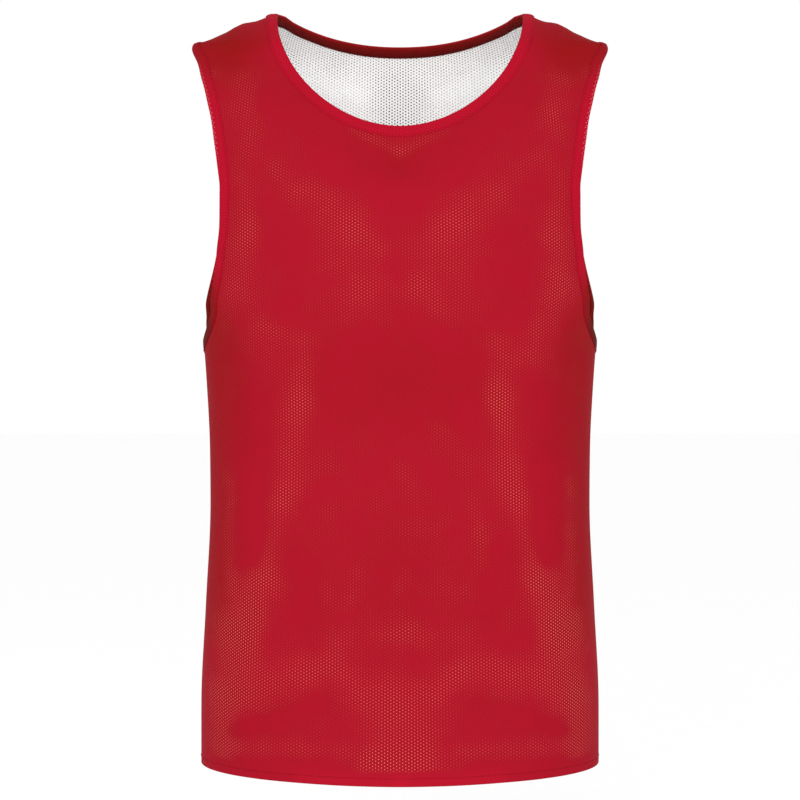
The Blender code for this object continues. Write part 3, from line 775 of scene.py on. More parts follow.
def even_out(face, grid, rounds, keep_rows):
    """Move each inner place towards the middle of its four neighbours."""
    shape = grid[1:-1, 1:-1].shape
    for _ in range(rounds):
        points = base_points(face, *grid.reshape(-1, 2).T).reshape(*grid.shape[:2], 3)
        middle = (points[:-2, 1:-1] + points[2:, 1:-1] + points[1:-1, :-2] + points[1:-1, 2:]) / 4
        moves = (middle - points[1:-1, 1:-1]).reshape(-1, 3)
        inner = slide(face, grid[1:-1, 1:-1].reshape(-1, 2), moves).reshape(shape)
        grid[keep_rows:-1, 1:-1] = inner[keep_rows - 1:]
    return grid


def refined(coarse, hem, top, centre, right):
    """The same grid with more rows and columns, and with exact edges."""
    rows = np.linspace(0, len(coarse) - 1, len(right))
    columns = np.linspace(0, coarse.shape[1] - 1, len(top))
    grid = np.empty((len(right), len(top), 2))
    for k in range(2):
        tall = np.array([np.interp(rows, range(len(coarse)), line) for line in coarse[..., k].T])
        grid[..., k] = [np.interp(columns, range(coarse.shape[1]), line) for line in tall.T]
    grid[0], grid[-1], grid[:, 0], grid[:, -1] = hem, top, centre, right
    return grid


def panel_grid(face):
    """Places of half a panel, row by row from the hem up and from the centre out."""
    coarse = even_out(face, blended(face, *panel_edges(face, COARSE)), COARSE_ROUNDS, 2)
    return even_out(face, refined(coarse, *panel_edges(face, FINE)), FINE_ROUNDS, 5)


GRIDS = {face: panel_grid(face) for face in FACE_SIGN}
print("places on half a panel:", {face: grid.shape[:2] for face, grid in GRIDS.items()})

# %% [markdown]
# ## How the dots come and go
#
# These strokes draw where the eyelets show light. The photograph has few dots in the V under the
# neckline, over the belly and in a strip under each arm, and many beside the armholes and towards
# the hem. The back, which isn't seen, has bands of the same kind. The second table draws painted
# shade, where the cloth is darkened as if in shade: on the shoulders, at the sides where the
# panels turn and on the bindings under the arms. A stroke below 0 makes it lighter: along the
# front's hem, and as painted light on the lining behind the neck.

# %% The strokes that draw dots and painted shading
DOT_BASE = {"front": 0.17, "back": 0.22, "lining": 0.46}
DOTS = (
    Stroke("front", 0.122, -0.022, 0.182, -0.040, 0.022, -0.40, 1.00),
    Stroke("front", 0.055, -0.194, 0.044, -0.267, 0.031, 0.15, 1.10),
    Stroke("front", 0.082, -0.180, 0.046, -0.221, 0.018, 0.15, 0.70),
    Stroke("front", 0.046, -0.207, 0.020, -0.235, 0.012, 0.14, 0.90),
    Stroke("front", 0.016, -0.267, 0.042, -0.292, 0.013, 0.21, 0.80),
    Stroke("front", 0.147, -0.167, 0.140, -0.218, 0.013, 0.18, 1.00),
    Stroke("front", 0.143, -0.221, 0.149, -0.270, 0.017, 0.25, 0.95),
    Stroke("front", 0.146, -0.069, 0.140, -0.129, 0.016, 0.19, 1.00),
    Stroke("front", 0.175, -0.062, 0.175, -0.066, 0.008, 0.22, 1.00),
    Stroke("front", 0.122, -0.151, 0.096, -0.180, 0.012, 0.16, 1.00),
    Stroke("front", 0.134, -0.098, 0.091, -0.124, 0.013, 0.15, 0.75),
    Stroke("front", 0.046, -0.124, 0.000, -0.144, 0.006, 0.24, 1.00),
    Stroke("front", 0.122, -0.303, 0.118, -0.309, 0.011, 0.11, 1.50),
    Stroke("front", 0.146, -0.262, 0.118, -0.330, 0.014, 0.20, 0.60),
    Stroke("front", 0.089, -0.322, 0.091, -0.372, 0.015, 0.27, 1.00),
    Stroke("front", 0.091, -0.372, 0.106, -0.464, 0.013, 0.32, 0.95),
    Stroke("front", 0.111, -0.469, 0.124, -0.538, 0.010, 0.22, 0.90),
    Stroke("front", 0.129, -0.538, 0.147, -0.587, 0.018, 0.52, 1.00),
    Stroke("front", 0.157, -0.447, 0.157, -0.549, 0.007, 0.21, 1.00),
    Stroke("front", 0.151, -0.585, 0.152, -0.643, 0.020, 0.50, 1.00),
    Stroke("front", 0.166, -0.643, 0.166, -0.703, 0.013, 0.50, 1.00),
    Stroke("front", 0.032, -0.399, 0.055, -0.418, 0.011, 0.13, 0.30),
    Stroke("front", 0.073, -0.429, 0.099, -0.452, 0.013, 0.16, 0.50),
    Stroke("front", 0.064, -0.463, 0.080, -0.520, 0.009, 0.18, 0.30),
    Stroke("front", 0.041, -0.529, 0.047, -0.556, 0.008, 0.10, 1.80),
    Stroke("front", 0.062, -0.547, 0.082, -0.565, 0.007, 0.10, 1.30),
    Stroke("front", 0.000, -0.541, 0.002, -0.544, 0.008, 0.09, 1.00),
    Stroke("front", 0.005, -0.436, 0.020, -0.491, 0.011, 0.11, 0.30),
    Stroke("front", 0.000, -0.328, 0.003, -0.334, 0.013, 0.07, 1.00),
    Stroke("front", 0.055, -0.589, 0.000, -0.584, 0.013, 0.16, 1.00),
    Stroke("front", 0.120, -0.628, 0.064, -0.614, 0.018, 0.35, 1.00),
    Stroke("front", 0.046, -0.626, 0.035, -0.642, 0.011, 0.30, 0.90),
    Stroke("front", 0.014, -0.648, 0.014, -0.687, 0.026, 0.28, 1.00),
    Stroke("front", 0.011, -0.704, 0.026, -0.700, 0.011, 0.40, 1.00),
    Stroke("front", 0.154, -0.692, 0.055, -0.690, 0.009, 0.22, 1.00),
    Stroke("front", 0.120, -0.091, 0.000, -0.180, 0.016, -0.40, 1.00),
    Stroke("front", 0.055, -0.164, 0.027, -0.164, 0.018, -0.20, 1.00),
    Stroke("front", 0.103, -0.225, 0.103, -0.284, 0.020, -0.10, 0.70),
    Stroke("front", 0.038, -0.349, 0.036, -0.350, 0.041, -0.25, 1.00),
    Stroke("front", 0.137, -0.372, 0.137, -0.519, 0.012, -0.30, 1.00),
    Stroke("front", 0.091, -0.518, 0.082, -0.559, 0.011, -0.30, 1.00),
    Stroke("front", 0.154, -0.678, 0.071, -0.648, 0.006, -0.30, 1.00),
    Stroke("front", 0.068, -0.714, 0.177, -0.713, 0.008, -0.80, 1.00),
    Stroke("back", 0.000, -0.060, 0.060, -0.030, 0.016, -0.25, 1.00),
    Stroke("back", 0.090, -0.110, 0.000, -0.200, 0.024, -0.50, 1.00),
    Stroke("back", 0.000, -0.380, 0.060, -0.400, 0.050, -0.25, 0.80),
    Stroke("back", 0.150, -0.330, 0.148, -0.500, 0.022, -0.45, 1.10),
    Stroke("back", 0.145, -0.560, 0.150, -0.660, 0.035, 0.35, 0.90),
    # On the lining the dots are dark, painted shade seen through its eyelets.
    Stroke("lining", 0.125, -0.021, 0.095, -0.043, 0.015, 0.12, 1.00),
    Stroke("lining", 0.110, -0.048, 0.040, -0.068, 0.011, -0.30, 1.00),
    Stroke("lining", 0.010, -0.065, 0.008, -0.091, 0.020, 0.40, 1.00),
    Stroke("lining", 0.060, -0.035, 0.000, -0.043, 0.011, 0.15, 1.00),
    Stroke("lining", 0.095, -0.073, 0.040, -0.093, 0.013, -0.25, 1.00),
    Stroke("binding", 0.186, -0.068, 0.173, -0.134, 0.013, 0.85, 1.00),
)
# Above 0 a stroke is painted shade; below 0 it makes the cloth lighter, which on the lining is
# painted light.
PAINTED_SHADING_AND_TINT = (
    Stroke("binding", 0.190, -0.272, 0.191, -0.318, 0.016, 2.00, 1.00),
    Stroke("binding front", 0.184, -0.270, 0.188, -0.322, 0.006, 2.30, 1.00),
    Stroke("binding front", 0.178, -0.272, 0.176, -0.320, 0.014, 0.80, 1.00),
    Stroke("front", 0.194, -0.036, 0.159, -0.047, 0.028, 0.75, 1.00),
    Stroke("front", 0.140, -0.027, 0.159, -0.027, 0.018, 0.30, 1.00),
    Stroke("front", 0.172, -0.307, 0.174, -0.577, 0.022, 0.38, 1.00),
    Stroke("front", 0.191, -0.279, 0.192, -0.321, 0.015, 0.35, 1.00),
    Stroke("front", 0.111, -0.084, 0.000, -0.158, 0.022, 0.15, 1.00),
    Stroke("front", 0.055, -0.354, 0.053, -0.356, 0.055, 0.18, 1.00),
    Stroke("front", 0.000, -0.354, 0.002, -0.356, 0.037, 0.10, 1.00),
    Stroke("front", 0.159, -0.316, 0.140, -0.409, 0.018, 0.22, 1.00),
    Stroke("front", 0.091, -0.518, 0.082, -0.559, 0.028, 0.12, 1.00),
    Stroke("front", 0.000, -0.518, 0.000, -0.554, 0.046, 0.08, 1.00),
    Stroke("front", 0.154, -0.678, 0.071, -0.648, 0.011, 0.12, 1.00),
    Stroke("front", 0.000, -0.719, 0.090, -0.717, 0.007, -0.60, 1.00),
    Stroke("back", 0.190, -0.040, 0.165, -0.050, 0.030, 0.40, 1.00),
    Stroke("back", 0.170, -0.330, 0.172, -0.600, 0.026, 0.35, 1.00),
    Stroke("back", 0.100, -0.080, 0.000, -0.170, 0.022, 0.15, 1.00),
    # Painted light on the lining behind the neck.
    Stroke("lining", 0.110, -0.048, 0.040, -0.068, 0.009, -0.40, 1.00),
    Stroke("lining", 0.125, -0.020, 0.100, -0.050, 0.016, -0.90, 1.00),
)
print(f"{len(DOTS)} strokes of dots, {len(PAINTED_SHADING_AND_TINT)} of tone")

# %% [markdown]
# ## From places to sewn cloth
#
# A panel starts as one thin skin in the middle of the cloth. The skin is unwrapped while it is
# still a single sheet, which lays it out flat as the maker's cut, so the rows of eyelets run
# straight up the cut and bend with the cloth. Only then does Solidify give it its thickness,
# which carries the layout to both faces.
#
# The red cloth is turned up inside at the hem: its rows carry on round the fold and back up
# over the raw edge of the white. The white ends above the fold and lies a little further out
# there, so that the turned-up red has room.

# %% The rows of a panel
SKIN = 0.7 * MM                # thickness of the visible cloth
SLACK = 0.1 * MM               # the lining lies this much further out, the turned-up hem in
LINING_END = 6.0 * MM          # the lining ends this far above the fold of the hem
HEM_PRESS = 0.5 * MM           # how far the hem presses the lining out
HEM_PRESS_FADE = 8 * MM        # and over what height above the hem it comes back
UP_ROWS, ROUND_ROWS = 5, 9     # rows of the turned-up cloth and of the round fold
ABOVE_ROUND = 2 * MM           # the turned-up rows end this far above the round fold
BELOW_PANEL = 0.4 * MM         # and the panel's own rows begin this far above it


def fold_rows(depth):
    """Rise and depth of each row turned up at the hem, and where the panel's own rows begin."""
    inner = STACK - SKIN / 2 + SLACK
    radius = (inner - depth) / 2
    turn = radius + SKIN / 2
    fold = [(rise, inner) for rise in np.linspace(HEM_FOLD, turn + ABOVE_ROUND, UP_ROWS)]
    for angle in np.linspace(0.0, math.pi, ROUND_ROWS):
        fold.append((turn - radius * math.sin(angle), depth + radius * (1 + math.cos(angle))))
    return fold, turn + BELOW_PANEL


def skin_rows(face, depth, hem):
    """Rows of (share, height, depth) for half a panel.  With hem, the cloth is turned up."""
    grid = GRIDS[face]
    shares, fold_z = grid[0].T
    rows = [np.column_stack([line, np.full(len(line), depth)]) for line in grid]
    if hem:
        fold, clear = fold_rows(depth)
        return [np.column_stack([shares, fold_z + rise, np.full_like(shares, deep)])
                for rise, deep in fold] + [row for row in rows
                                           if (row[:, 1] - fold_z).min() > clear]
    rows = [row for row in rows if (row[:, 1] - fold_z).min() > LINING_END]
    for row in rows:
        free = np.clip((row[:, 1] - fold_z - HEM_FOLD) / HEM_PRESS_FADE, 0.0, 1.0)
        row[:, 2] -= (1 - free * free * (3 - 2 * free)) * HEM_PRESS
    return rows


for hem in (True, False):
    print("rows of a front panel", "with" if hem else "without", "a turned-up hem:",
          len(skin_rows("front", SKIN / 2, hem)))

# %% [markdown]
# At the side and shoulder seams the edge of each red panel turns inwards, so the two panels
# meet in a fine groove. Every edge also runs a hair past the middle of the seam, so that no
# light shows between front and back. Under the bindings the lining is pressed out against the
# red, as cloth is where several layers are stitched, which keeps it inside the folded strip.

# %% Seams and bound edges
SEAM_ROLL = 0.8 * MM           # how far the red edges turn in at a seam
ROLL_REACH = 1.3 * MM          # and how far from the seam that begins to show
SEAM_LAP = 0.25 * MM           # how far every edge runs past the seam
LAP_REACH = 0.6 * MM
CAUGHT = 0.45 * MM             # how far the lining is pressed out under the bindings
CAUGHT_PAST = 2 * MM           # how far past the binding the press stays whole
CAUGHT_FADE = 3 * MM           # and how fast it dies out after that


def seam_distance(face, share, height):
    """Rough distance along the form to the side or shoulder seam."""
    x, y, _ = quarter_rings(face, height)
    girth = np.hypot(np.diff(x), np.diff(y)).sum(axis=1)
    return (1.0 - np.minimum(share, 1.0)) * girth


def under_bindings(face, points):
    """1 where a binding covers the panel, fading to 0 a few millimetres beyond it."""
    edges = [spread(face, curve, np.linspace(0.0, 1.0, 160)) for curve in (neckline, armhole)]
    edges = np.concatenate([base_points(face, *edge.T) for edge in edges])
    places = np.abs(points) * (1.0, 0.0, 0.0) + points * (0.0, 1.0, 1.0)
    nearest = np.array([np.linalg.norm(edges - place, axis=1).min() for place in places])
    return soft(np.maximum(nearest - BINDING_WIDTH - CAUGHT_PAST, 0.0), CAUGHT_FADE)


print(f"half the girth at the underarm: "
      f"{2 * seam_distance('front', np.zeros(1), [UNDERARM_Z])[0] * MILLIMETRES:.0f} mm in front")

# %% [markdown]
# Each point of a skin keeps two values that the cloth reads: how far its dots show, and its
# painted shading. On the red no light shows through the lowest 11 mm, where the cloth is double.

# %% A skin
BARE_HEM = 11 * MM             # height of the plain band above the fold
BARE_HEM_FADE = 3 * MM


def add_attribute(mesh, name, values):
    """Keep one value for each point of the mesh."""
    layer = mesh.attributes.new(name, "FLOAT", "POINT")
    layer.data.foreach_set("value", np.asarray(values, np.float32))


def skin_points(face, depth, hem):
    """The points of a whole panel, and how many of them lie side by side in a row."""
    rows = np.array(skin_rows(face, depth, hem))
    whole = np.concatenate([rows[:, :0:-1] * (-1.0, 1.0, 1.0), rows], axis=1)
    share, height, deep = whole.reshape(-1, 3).T
    points, normals = form_points(face, share, height)
    edge = seam_distance(face, np.abs(share), height)
    if hem:
        deep = deep + SEAM_ROLL * soft(edge, ROLL_REACH)
    else:
        deep = deep - CAUGHT * under_bindings(face, points)
    points = points - normals * deep[:, None]
    points[:, 1] -= FACE_SIGN[face] * SEAM_LAP * soft(edge, LAP_REACH)
    return points, whole.shape[1]


def skin(name, face, depth, hem):
    """The single sheet of a whole panel, with the attributes that its cloth reads."""
    points, wide = skin_points(face, depth, hem)
    faces = []
    for j in range(len(points) // wide - 1):
        for i in range(wide - 1):
            a = j * wide + i
            quad = (a, a + 1, a + wide + 1, a + wide)
            faces.append(quad if face == "front" else quad[::-1])
    mesh = bpy.data.meshes.new(name)
    mesh.from_pydata(points.tolist(), [], faces)
    x, z = points[:, 0], points[:, 2]
    look = face if hem else "lining"
    open_cloth = np.clip((z - hem_height(x) - BARE_HEM) / BARE_HEM_FADE, 0.0, 1.0)
    dots = (DOT_BASE[look] + strokes_at(DOTS, look, x, z)) * (open_cloth if hem else 1.0)
    add_attribute(mesh, "dots", np.clip(dots, 0.0, 1.0))
    # The painted shading that the strokes draw on this skin.
    add_attribute(mesh, "painted_shading_and_tint", strokes_at(PAINTED_SHADING_AND_TINT, look, x, z))
    return in_scene(name, mesh)


print("skins are ready to be cut")

# %% [markdown]
# Blender's angle-based unwrap keeps the squares of the knit square, which is how a real cut
# behaves. Its result has no size or direction of its own, so it is scaled until its area is
# the cloth's, and turned until the centre line runs straight up.

# %% Lay a skin out flat


def lay_flat(piece, centre_ids):
    """Unwrap a skin into its cut.  Returns the cut's width, length and area in metres."""
    mesh = piece.data
    mesh.uv_layers.new(name="cut")
    bpy.context.view_layer.objects.active = piece
    bpy.ops.object.mode_set(mode="EDIT")
    bpy.ops.mesh.select_all(action="SELECT")
    bpy.ops.uv.unwrap(method="ANGLE_BASED", margin=0.0)
    bpy.ops.object.mode_set(mode="OBJECT")
    layer = mesh.uv_layers["cut"]
    flat = np.zeros(len(mesh.loops) * 2, np.float32)
    layer.data.foreach_get("uv", flat)
    flat = flat.reshape(-1, 2).astype(float)
    corners = np.zeros(len(mesh.loops), np.int32)
    mesh.loops.foreach_get("vertex_index", corners)
    place = np.zeros((len(mesh.vertices), 2))
    place[corners] = flat
    up = place[centre_ids[-1]] - place[centre_ids[0]]
    turn = math.atan2(up[0], up[1])
    cos, sin = math.cos(turn), math.sin(turn)
    place = (place - place[centre_ids].mean(axis=0)) @ np.array([[cos, sin], [-sin, cos]])
    quads = np.array([tuple(polygon.vertices) for polygon in mesh.polygons])
    cloth = sum(polygon.area for polygon in mesh.polygons)
    drawn = quad_areas(place[quads])
    place *= math.sqrt(cloth / abs(drawn.sum()))
    if drawn.sum() < 0:
        place[:, 0] *= -1.0
    layer.data.foreach_set("uv", place[corners].astype(np.float32).ravel())
    width, length = place.max(axis=0) - place.min(axis=0)
    return float(width), float(length), float(cloth)


def quad_areas(corners):
    """The area of each flat quad, below 0 where its corners run clockwise."""
    one, two = corners[:, 2] - corners[:, 0], corners[:, 3] - corners[:, 1]
    return (one[:, 0] * two[:, 1] - one[:, 1] * two[:, 0]) / 2


SHARP = math.radians(60)       # cloth bent more than this between two faces shows an edge


def thicken(piece, thickness):
    """Give a skin its thickness to both sides and keep the result as plain mesh."""
    solid = piece.modifiers.new("thickness", "SOLIDIFY")
    solid.thickness, solid.offset = thickness, 0.0
    solid.use_even_offset = True
    graph = bpy.context.evaluated_depsgraph_get()
    mesh = bpy.data.meshes.new_from_object(piece.evaluated_get(graph),
                                           preserve_all_data_layers=True, depsgraph=graph)
    piece.modifiers.clear()
    mesh.name = piece.name
    piece.data = mesh
    mesh.shade_smooth()
    mesh.set_sharp_from_angle(angle=SHARP)


PANELS = {}
for layer, depth, turned, cloth in (("outer", SKIN / 2, True, RED_MESH),
                                    ("inner", STACK - SKIN / 2 - SLACK, False, WHITE_MESH)):
    for face in FACE_SIGN:
        name = f"{layer}_{face}_cloth"
        piece = skin(name, face, depth, turned)
        wide = 2 * GRIDS[face].shape[1] - 1
        centre_ids = np.arange(wide // 2, len(piece.data.vertices), wide)
        lay_flat(piece, centre_ids)
        thicken(piece, SKIN)
        piece.data.materials.append(cloth)
        PANELS[name] = piece

# %% [markdown]
# ## Bindings
#
# A strip of the same red knit is folded over each raw edge and stitched through all layers. It
# covers the panels by 10 mm on both sides. Its section is drawn once for every few millimetres
# of the edge: over the outside, round the edge and back under the inside. The strip is a little
# crowned between its fold and its stitches, as cloth is where several layers are sewn.

# %% Sections of a binding
BINDING_SKIN = 0.6 * MM
STAND_OFF = 0.6                # the strip's middle lies this many thicknesses off the panels
FREE_EDGE_PRESS = 0.35         # and its stitched edge this many thicknesses nearer to them
LEG_STEPS, BEND_STEPS = 7, 8
BEND_POWER = 0.8               # below 1, the bend is fuller than half a circle
SECTIONS = {"neck": 84, "armhole": 96}
CROWN = 0.20 * MM              # how far the middle of the outer leg stands out
INNER_CROWN_SHARE = 0.6        # how much of that the inner leg has
INNER_REACH = 1.14             # the inner leg is a little longer than the outer one


def edge_frames(face, curve, count):
    """Places along an edge and the places a binding's width inside them, for half a panel."""
    t = np.linspace(0.0, 1.0, count + 1)
    edge = spread(face, curve, t)
    points = base_points(face, *edge.T)
    runs = np.gradient(points, axis=0)
    if curve is neckline:
        runs = -runs
        runs[0] = (-1.0, 0.0, 0.0)
    inner = inset(face, edge, runs, BINDING_WIDTH)
    inner[-1] = seam_place(face, curve, last=True)
    if curve is neckline:
        inner[0] = (0.0, walk(face, 0.0, edge[0, 1], -1, BINDING_WIDTH))
    else:
        inner[0] = seam_place(face, curve, last=False)
    return edge, inner


def seam_place(face, curve, last):
    """Where the inner edge of a binding crosses the shoulder seam or the side seam."""
    if curve is neckline:
        return 1.0, walk(face, 1.0, 0.0, -1, BINDING_WIDTH)
    if last:
        return 1.0, walk(face, 1.0, SHOULDER_TIP_Z, 1, BINDING_WIDTH)
    return 1.0, walk(face, 1.0, UNDERARM_Z, -1, BINDING_WIDTH)


def strip_sections(face, side, curve, count):
    """Points of the folded strip: one row for each section, outer leg first."""
    edge, inner = edge_frames(face, curve, count)
    over, under = -BINDING_SKIN * STAND_OFF, STACK + BINDING_SKIN * STAND_OFF
    legs = []
    for reach in (1.0, INNER_REACH):
        leg = []
        for t in np.linspace(1.0, 0.0, LEG_STEPS + 1):
            place = edge + (inner - edge) * t * reach
            points, normals = form_points(face, side * place[:, 0], place[:, 1])
            leg.append((points, normals, CROWN * math.sin(math.pi * t), t * t))
        legs.append(leg)
    points, normals = legs[0][-1][:2]
    into = legs[0][-2][0] - points
    into -= normals * (into * normals).sum(1)[:, None]
    into /= np.linalg.norm(into, axis=1)[:, None]
    middle, radius = (over + under) / 2, (under - over) / 2
    outline = [p - n * (over - crown + pressed * BINDING_SKIN * FREE_EDGE_PRESS)
               for p, n, crown, pressed in legs[0][:-1]]
    for angle in np.linspace(0.0, math.pi, BEND_STEPS + 1):
        reach = (GAP + BINDING_SKIN) * math.sin(angle) ** BEND_POWER
        outline.append(points - into * reach - normals * (middle - radius * math.cos(angle)))
    outline += [p - n * (under + crown * INNER_CROWN_SHARE)
                for p, n, crown, _ in legs[1][-2::-1]]
    return np.array(outline).transpose(1, 0, 2)


def binding_loop(curve, count, sides):
    """All sections round one opening.  Where front and back meet, their sections are made one."""
    if len(sides) == 2:
        left, right = ({face: strip_sections(face, side, curve, count) for face in FACE_SIGN}
                       for side in sides)
        meet_left = (left["front"][-1:] + left["back"][-1:]) / 2
        meet_right = (right["front"][-1:] + right["back"][-1:]) / 2
        return np.concatenate([left["front"][:-1], meet_left, left["back"][-2::-1],
                               right["back"][1:-1], meet_right, right["front"][-2:0:-1]])
    front, back = (strip_sections(face, sides[0], curve, count) for face in FACE_SIGN)
    low, high = (front[:1] + back[:1]) / 2, (front[-1:] + back[-1:]) / 2
    return np.concatenate([low, front[1:-1], high, back[-2:0:-1]])


def binding_strip(name, curve, count, sides):
    """The strip as a closed ring of cloth, with its own flat layout."""
    loop = binding_loop(curve, count, sides)
    number, size = loop.shape[:2]
    mesh = bpy.data.meshes.new(name)
    faces, flat = [], []
    length = np.linalg.norm(np.roll(loop, -1, 0) - loop, axis=2)[:, size // 2]
    along = np.concatenate([[0.0], np.cumsum(length)])
    across = np.linalg.norm(np.diff(loop, axis=1), axis=2).mean(axis=0)
    across = np.concatenate([[0.0], np.cumsum(across)])
    for k in range(number):
        after = (k + 1) % number
        for i in range(size - 1):
            faces.append((k * size + i, k * size + i + 1, after * size + i + 1, after * size + i))
            flat += [(across[i], along[k]), (across[i + 1], along[k]),
                     (across[i + 1], along[k + 1]), (across[i], along[k + 1])]
    outward = loop[0, 0] - loop[0, size - 1]
    first = np.cross(loop[0, 1] - loop[0, 0], loop[1, 0] - loop[0, 0])
    if first @ outward < 0:
        faces = [quad[::-1] for quad in faces]
        flat = [flat[q * 4 + c] for q in range(len(faces)) for c in (3, 2, 1, 0)]
    mesh.from_pydata(loop.reshape(-1, 3).tolist(), [], faces)
    x, y, z = loop.reshape(-1, 3).T
    add_attribute(mesh, "dots", np.where(y < 0, strokes_at(DOTS, "binding", x, z), 0.0))
    # The strips' painted shading: the panels' strokes and the bindings' own.
    behind = strokes_at(PAINTED_SHADING_AND_TINT, "back", x, z) + strokes_at(PAINTED_SHADING_AND_TINT, "binding", x, z)
    ahead = strokes_at(PAINTED_SHADING_AND_TINT, "front", x, z) + strokes_at(PAINTED_SHADING_AND_TINT, "binding front", x, z)
    add_attribute(mesh, "painted_shading_and_tint", np.where(y < 0, ahead, behind))
    layer = mesh.uv_layers.new(name="cut")
    layer.data.foreach_set("uv", np.array(flat, np.float32).ravel())
    piece = in_scene(name, mesh)
    thicken(piece, BINDING_SKIN)
    piece.data.materials.append(RED_BINDING)
    print(f"{name}: strip {across[-1] * MILLIMETRES:.1f} by {along[-1] * MILLIMETRES:.0f} mm")
    return piece, loop


NECK_BINDING, neck_loop = binding_strip("neck_binding_strip", neckline, SECTIONS["neck"],
                                        (1.0, -1.0))
ARM_BINDINGS, arm_loops = {}, {}
for name, side in (("left", 1.0), ("right", -1.0)):
    ARM_BINDINGS[name], arm_loops[name] = binding_strip(
        f"armhole_binding_{name}_strip", armhole, SECTIONS["armhole"], (side,))

# %% [markdown]
# ## Stitches by Geometry Nodes
#
# One line of stitches holds each binding, and one holds the hem. Every stitch is the same, so a
# node tree makes them: it takes the line as a curve, cuts it into steps of one stitch, and puts
# a short thread at each. The thread is a tube bent slightly into the cloth at both ends. The
# tree ends by making the copies real, because copies are lost when the model is exported.

# %% A tree that sews
THREAD_BENDS, THREAD_SIDES = 5, 6
THREAD_BULGE = 2.4             # thread radii by which the middle of a stitch is drawn out


def stitch_tree():
    """Short threads along a line: step, length and radius in metres, and the thread's finish."""
    tree = bpy.data.node_groups.new("stitches", "GeometryNodeTree")
    face = tree.interface
    face.new_socket("Geometry", in_out="INPUT", socket_type="NodeSocketGeometry")
    for name in ("Step", "Stitch Length", "Thread Radius"):
        face.new_socket(name, in_out="INPUT", socket_type="NodeSocketFloat")
    face.new_socket("Thread", in_out="INPUT", socket_type="NodeSocketMaterial")
    face.new_socket("Geometry", in_out="OUTPUT", socket_type="NodeSocketGeometry")
    nodes, links = tree.nodes, tree.links
    start, end = nodes.new("NodeGroupInput"), nodes.new("NodeGroupOutput")

    def made(kind, settings=None, **sockets):
        node = nodes.new(kind)
        for key, value in (settings or {}).items():
            setattr(node, key, value)
        for key, value in sockets.items():
            socket = node.inputs[key.replace("_", " ")]
            if isinstance(value, bpy.types.NodeSocket):
                links.new(value, socket)
            else:
                socket.default_value = value
        return node

    def times(value, factor):
        node = made("ShaderNodeMath", {"operation": "MULTIPLY"})
        links.new(value, node.inputs[0])
        node.inputs[1].default_value = factor
        return node.outputs[0]

    curve = made("GeometryNodeMeshToCurve", Mesh=start.outputs["Geometry"])
    steps = made("GeometryNodeResampleCurve", {"mode": "LENGTH"}, Curve=curve.outputs[0],
                 Length=start.outputs["Step"])
    half = times(start.outputs["Stitch Length"], 0.5)
    first = made("ShaderNodeCombineXYZ", Z=times(half, -1.0))
    middle = made("ShaderNodeCombineXYZ", X=times(start.outputs["Thread Radius"], THREAD_BULGE))
    last = made("ShaderNodeCombineXYZ", Z=half)
    thread = made("GeometryNodeCurveQuadraticBezier", Resolution=THREAD_BENDS,
                  Start=first.outputs[0], Middle=middle.outputs[0], End=last.outputs[0])
    section = made("GeometryNodeCurvePrimitiveCircle", Resolution=THREAD_SIDES,
                   Radius=start.outputs["Thread Radius"])
    tube = made("GeometryNodeCurveToMesh", Curve=thread.outputs[0],
                Profile_Curve=section.outputs[0], Fill_Caps=True)
    along = made("GeometryNodeInputTangent")
    turn = made("FunctionNodeAlignRotationToVector", {"axis": "Z"}, Vector=along.outputs[0])
    outward = made("GeometryNodeInputNamedAttribute", {"data_type": "FLOAT_VECTOR"},
                   Name="outward")
    turn_out = made("FunctionNodeAlignRotationToVector", {"axis": "X", "pivot_axis": "Z"},
                    Rotation=turn.outputs[0], Vector=outward.outputs[0])
    copies = made("GeometryNodeInstanceOnPoints", Points=steps.outputs[0],
                  Instance=tube.outputs[0], Rotation=turn_out.outputs[0])
    real = made("GeometryNodeRealizeInstances", Geometry=copies.outputs[0])
    dressed = made("GeometryNodeSetMaterial", Geometry=real.outputs[0],
                   Material=start.outputs["Thread"])
    links.new(dressed.outputs[0], end.inputs[0])
    return tree


STITCHES = stitch_tree()
print("stitch tree:", len(STITCHES.nodes), "nodes")

# %% [markdown]
# The lines to sew along come from the pieces themselves: for a binding, the row of points near
# the free edge of its outer leg, and for the hem a line round the bib a little above the fold.
# Each line is a chain of edges that also keeps which way is outwards, so that the threads lie
# on the cloth and don't stand up from it.

# %% Sew the lines
BINDING_STITCH = {"closed": True, "step": 3.0 * MM, "stitch": 2.1 * MM, "radius": 0.14 * MM}
HEM_STITCH = {"closed": False, "step": 3.0 * MM, "stitch": 2.0 * MM, "radius": 0.18 * MM}
STITCHED_ROW = 1               # counted from the free edge of a binding's outer leg
HEM_LINE = 7.5 * MM            # height of the hem's stitches above the fold
THREAD_LIFT = 0.05 * MM        # how far above the cloth a line of stitches lies


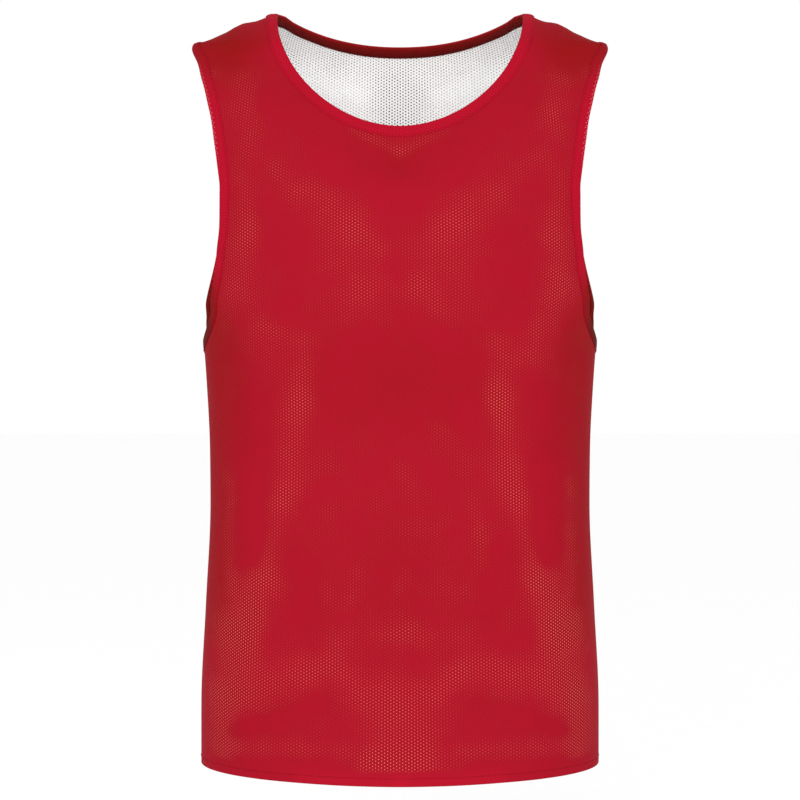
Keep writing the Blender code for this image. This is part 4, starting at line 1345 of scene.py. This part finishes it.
def sew(name, points, outward, closed, step, stitch, radius):
    """Run the stitch tree along a chain of points and keep the result as plain mesh."""
    count = len(points)
    edges = [(k, k + 1) for k in range(count - 1)] + ([(count - 1, 0)] if closed else [])
    chain = bpy.data.meshes.new(name)
    chain.from_pydata(points.tolist(), edges, [])
    layer = chain.attributes.new("outward", "FLOAT_VECTOR", "POINT")
    layer.data.foreach_set("vector", outward.astype(np.float32).ravel())
    piece = in_scene(name, chain)
    sewing = piece.modifiers.new("stitches", "NODES")
    sewing.node_group = STITCHES
    wanted = {"Step": step, "Stitch Length": stitch, "Thread Radius": radius,
              "Thread": RED_THREAD}
    for item in STITCHES.interface.items_tree:
        if item.item_type == "SOCKET" and item.in_out == "INPUT" and item.name in wanted:
            sewing[item.identifier] = wanted[item.name]
    graph = bpy.context.evaluated_depsgraph_get()
    mesh = bpy.data.meshes.new_from_object(piece.evaluated_get(graph), depsgraph=graph)
    piece.modifiers.clear()
    mesh.name = name
    piece.data = mesh
    mesh.shade_smooth()
    print(f"{name}: {len(mesh.polygons)} faces")
    return piece


def binding_line(loop):
    """A line on the outer leg of a binding and the way out from it."""
    points = loop[:, STITCHED_ROW]
    side = loop[:, STITCHED_ROW + 1] - loop[:, STITCHED_ROW - 1]
    run = np.roll(points, -1, 0) - np.roll(points, 1, 0)
    outward = np.cross(side, run)
    outward /= np.linalg.norm(outward, axis=1)[:, None]
    from_inner_leg = points - loop[:, -1 - STITCHED_ROW]
    outward *= np.sign((outward * from_inner_leg).sum(1))[:, None]
    return points + outward * (BINDING_SKIN / 2 + THREAD_LIFT), outward


SEWN = {"neck": sew("neck_stitches", *binding_line(neck_loop), **BINDING_STITCH)}
for name, loop in arm_loops.items():
    SEWN[name] = sew(f"armhole_stitches_{name}", *binding_line(loop), **BINDING_STITCH)


def hem_line(face):
    """A line along the hem of one panel, on the face of the cloth."""
    share = np.linspace(-0.995, 0.995, 160)
    x = base_points(face, share, np.full_like(share, -BODY_LENGTH))[:, 0]
    points, normals = form_points(face, share, hem_height(x) + HEM_LINE)
    return points + normals * THREAD_LIFT, normals


for face in FACE_SIGN:
    SEWN["hem_" + face] = sew(f"hem_stitches_{face}", *hem_line(face), **HEM_STITCH)

# %% [markdown]
# ## The floor
#
# A wide pale floor well below the bib closes the studio. It isn't part of the object.

# %% Lay the floor
FLOOR_REACH = 40.0             # metres to each side


def make_floor():
    """A pale square well below the bib."""
    shop = Shop("pale floor")
    place = shop.node("ShaderNodeTexCoord", out="Object")
    speckle = shop.noise(place, 30.0, 2.0)
    colour = shop.mix(speckle, (0.97, 0.97, 0.97), (0.99, 0.99, 0.99))
    finish = shop.finish(colour, 0.9, speckle, 0.02 * MM)
    corners = [(x * FLOOR_REACH, y * FLOOR_REACH, FLOOR_HEIGHT)
               for x, y in ((-1, -1), (1, -1), (1, 1), (-1, 1))]
    mesh = bpy.data.meshes.new("floor")
    mesh.from_pydata(corners, [], [(0, 1, 2, 3)])
    mesh.materials.append(finish)
    in_scene("floor", mesh)


make_floor()
print(f"floor at {FLOOR_HEIGHT} m")

# %% [markdown]
# ## Put each piece in its solid's place
#
# Every piece takes the place of the solid it dresses, which is hidden, and moves with the part's
# one body. The panels and bindings are sheets of cloth.

for name, piece in PANELS.items():
    node = name.removesuffix("_cloth")
    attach(piece, "root")
    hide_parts(node)
    hem = [SEWN["hem_" + node.split("_")[1]]] if node.startswith("outer") else []

bindings = [(NECK_BINDING, "neck_binding", "neck")]
bindings += [(ARM_BINDINGS[name], f"armhole_binding_{name}", name) for name in ARM_BINDINGS]
for piece, node, sewn in bindings:
    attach(piece, "root")
    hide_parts(node)
for piece in SEWN.values():
    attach(piece, "root")
print(len(PANELS) + len(bindings) + len(SEWN), "pieces declared")
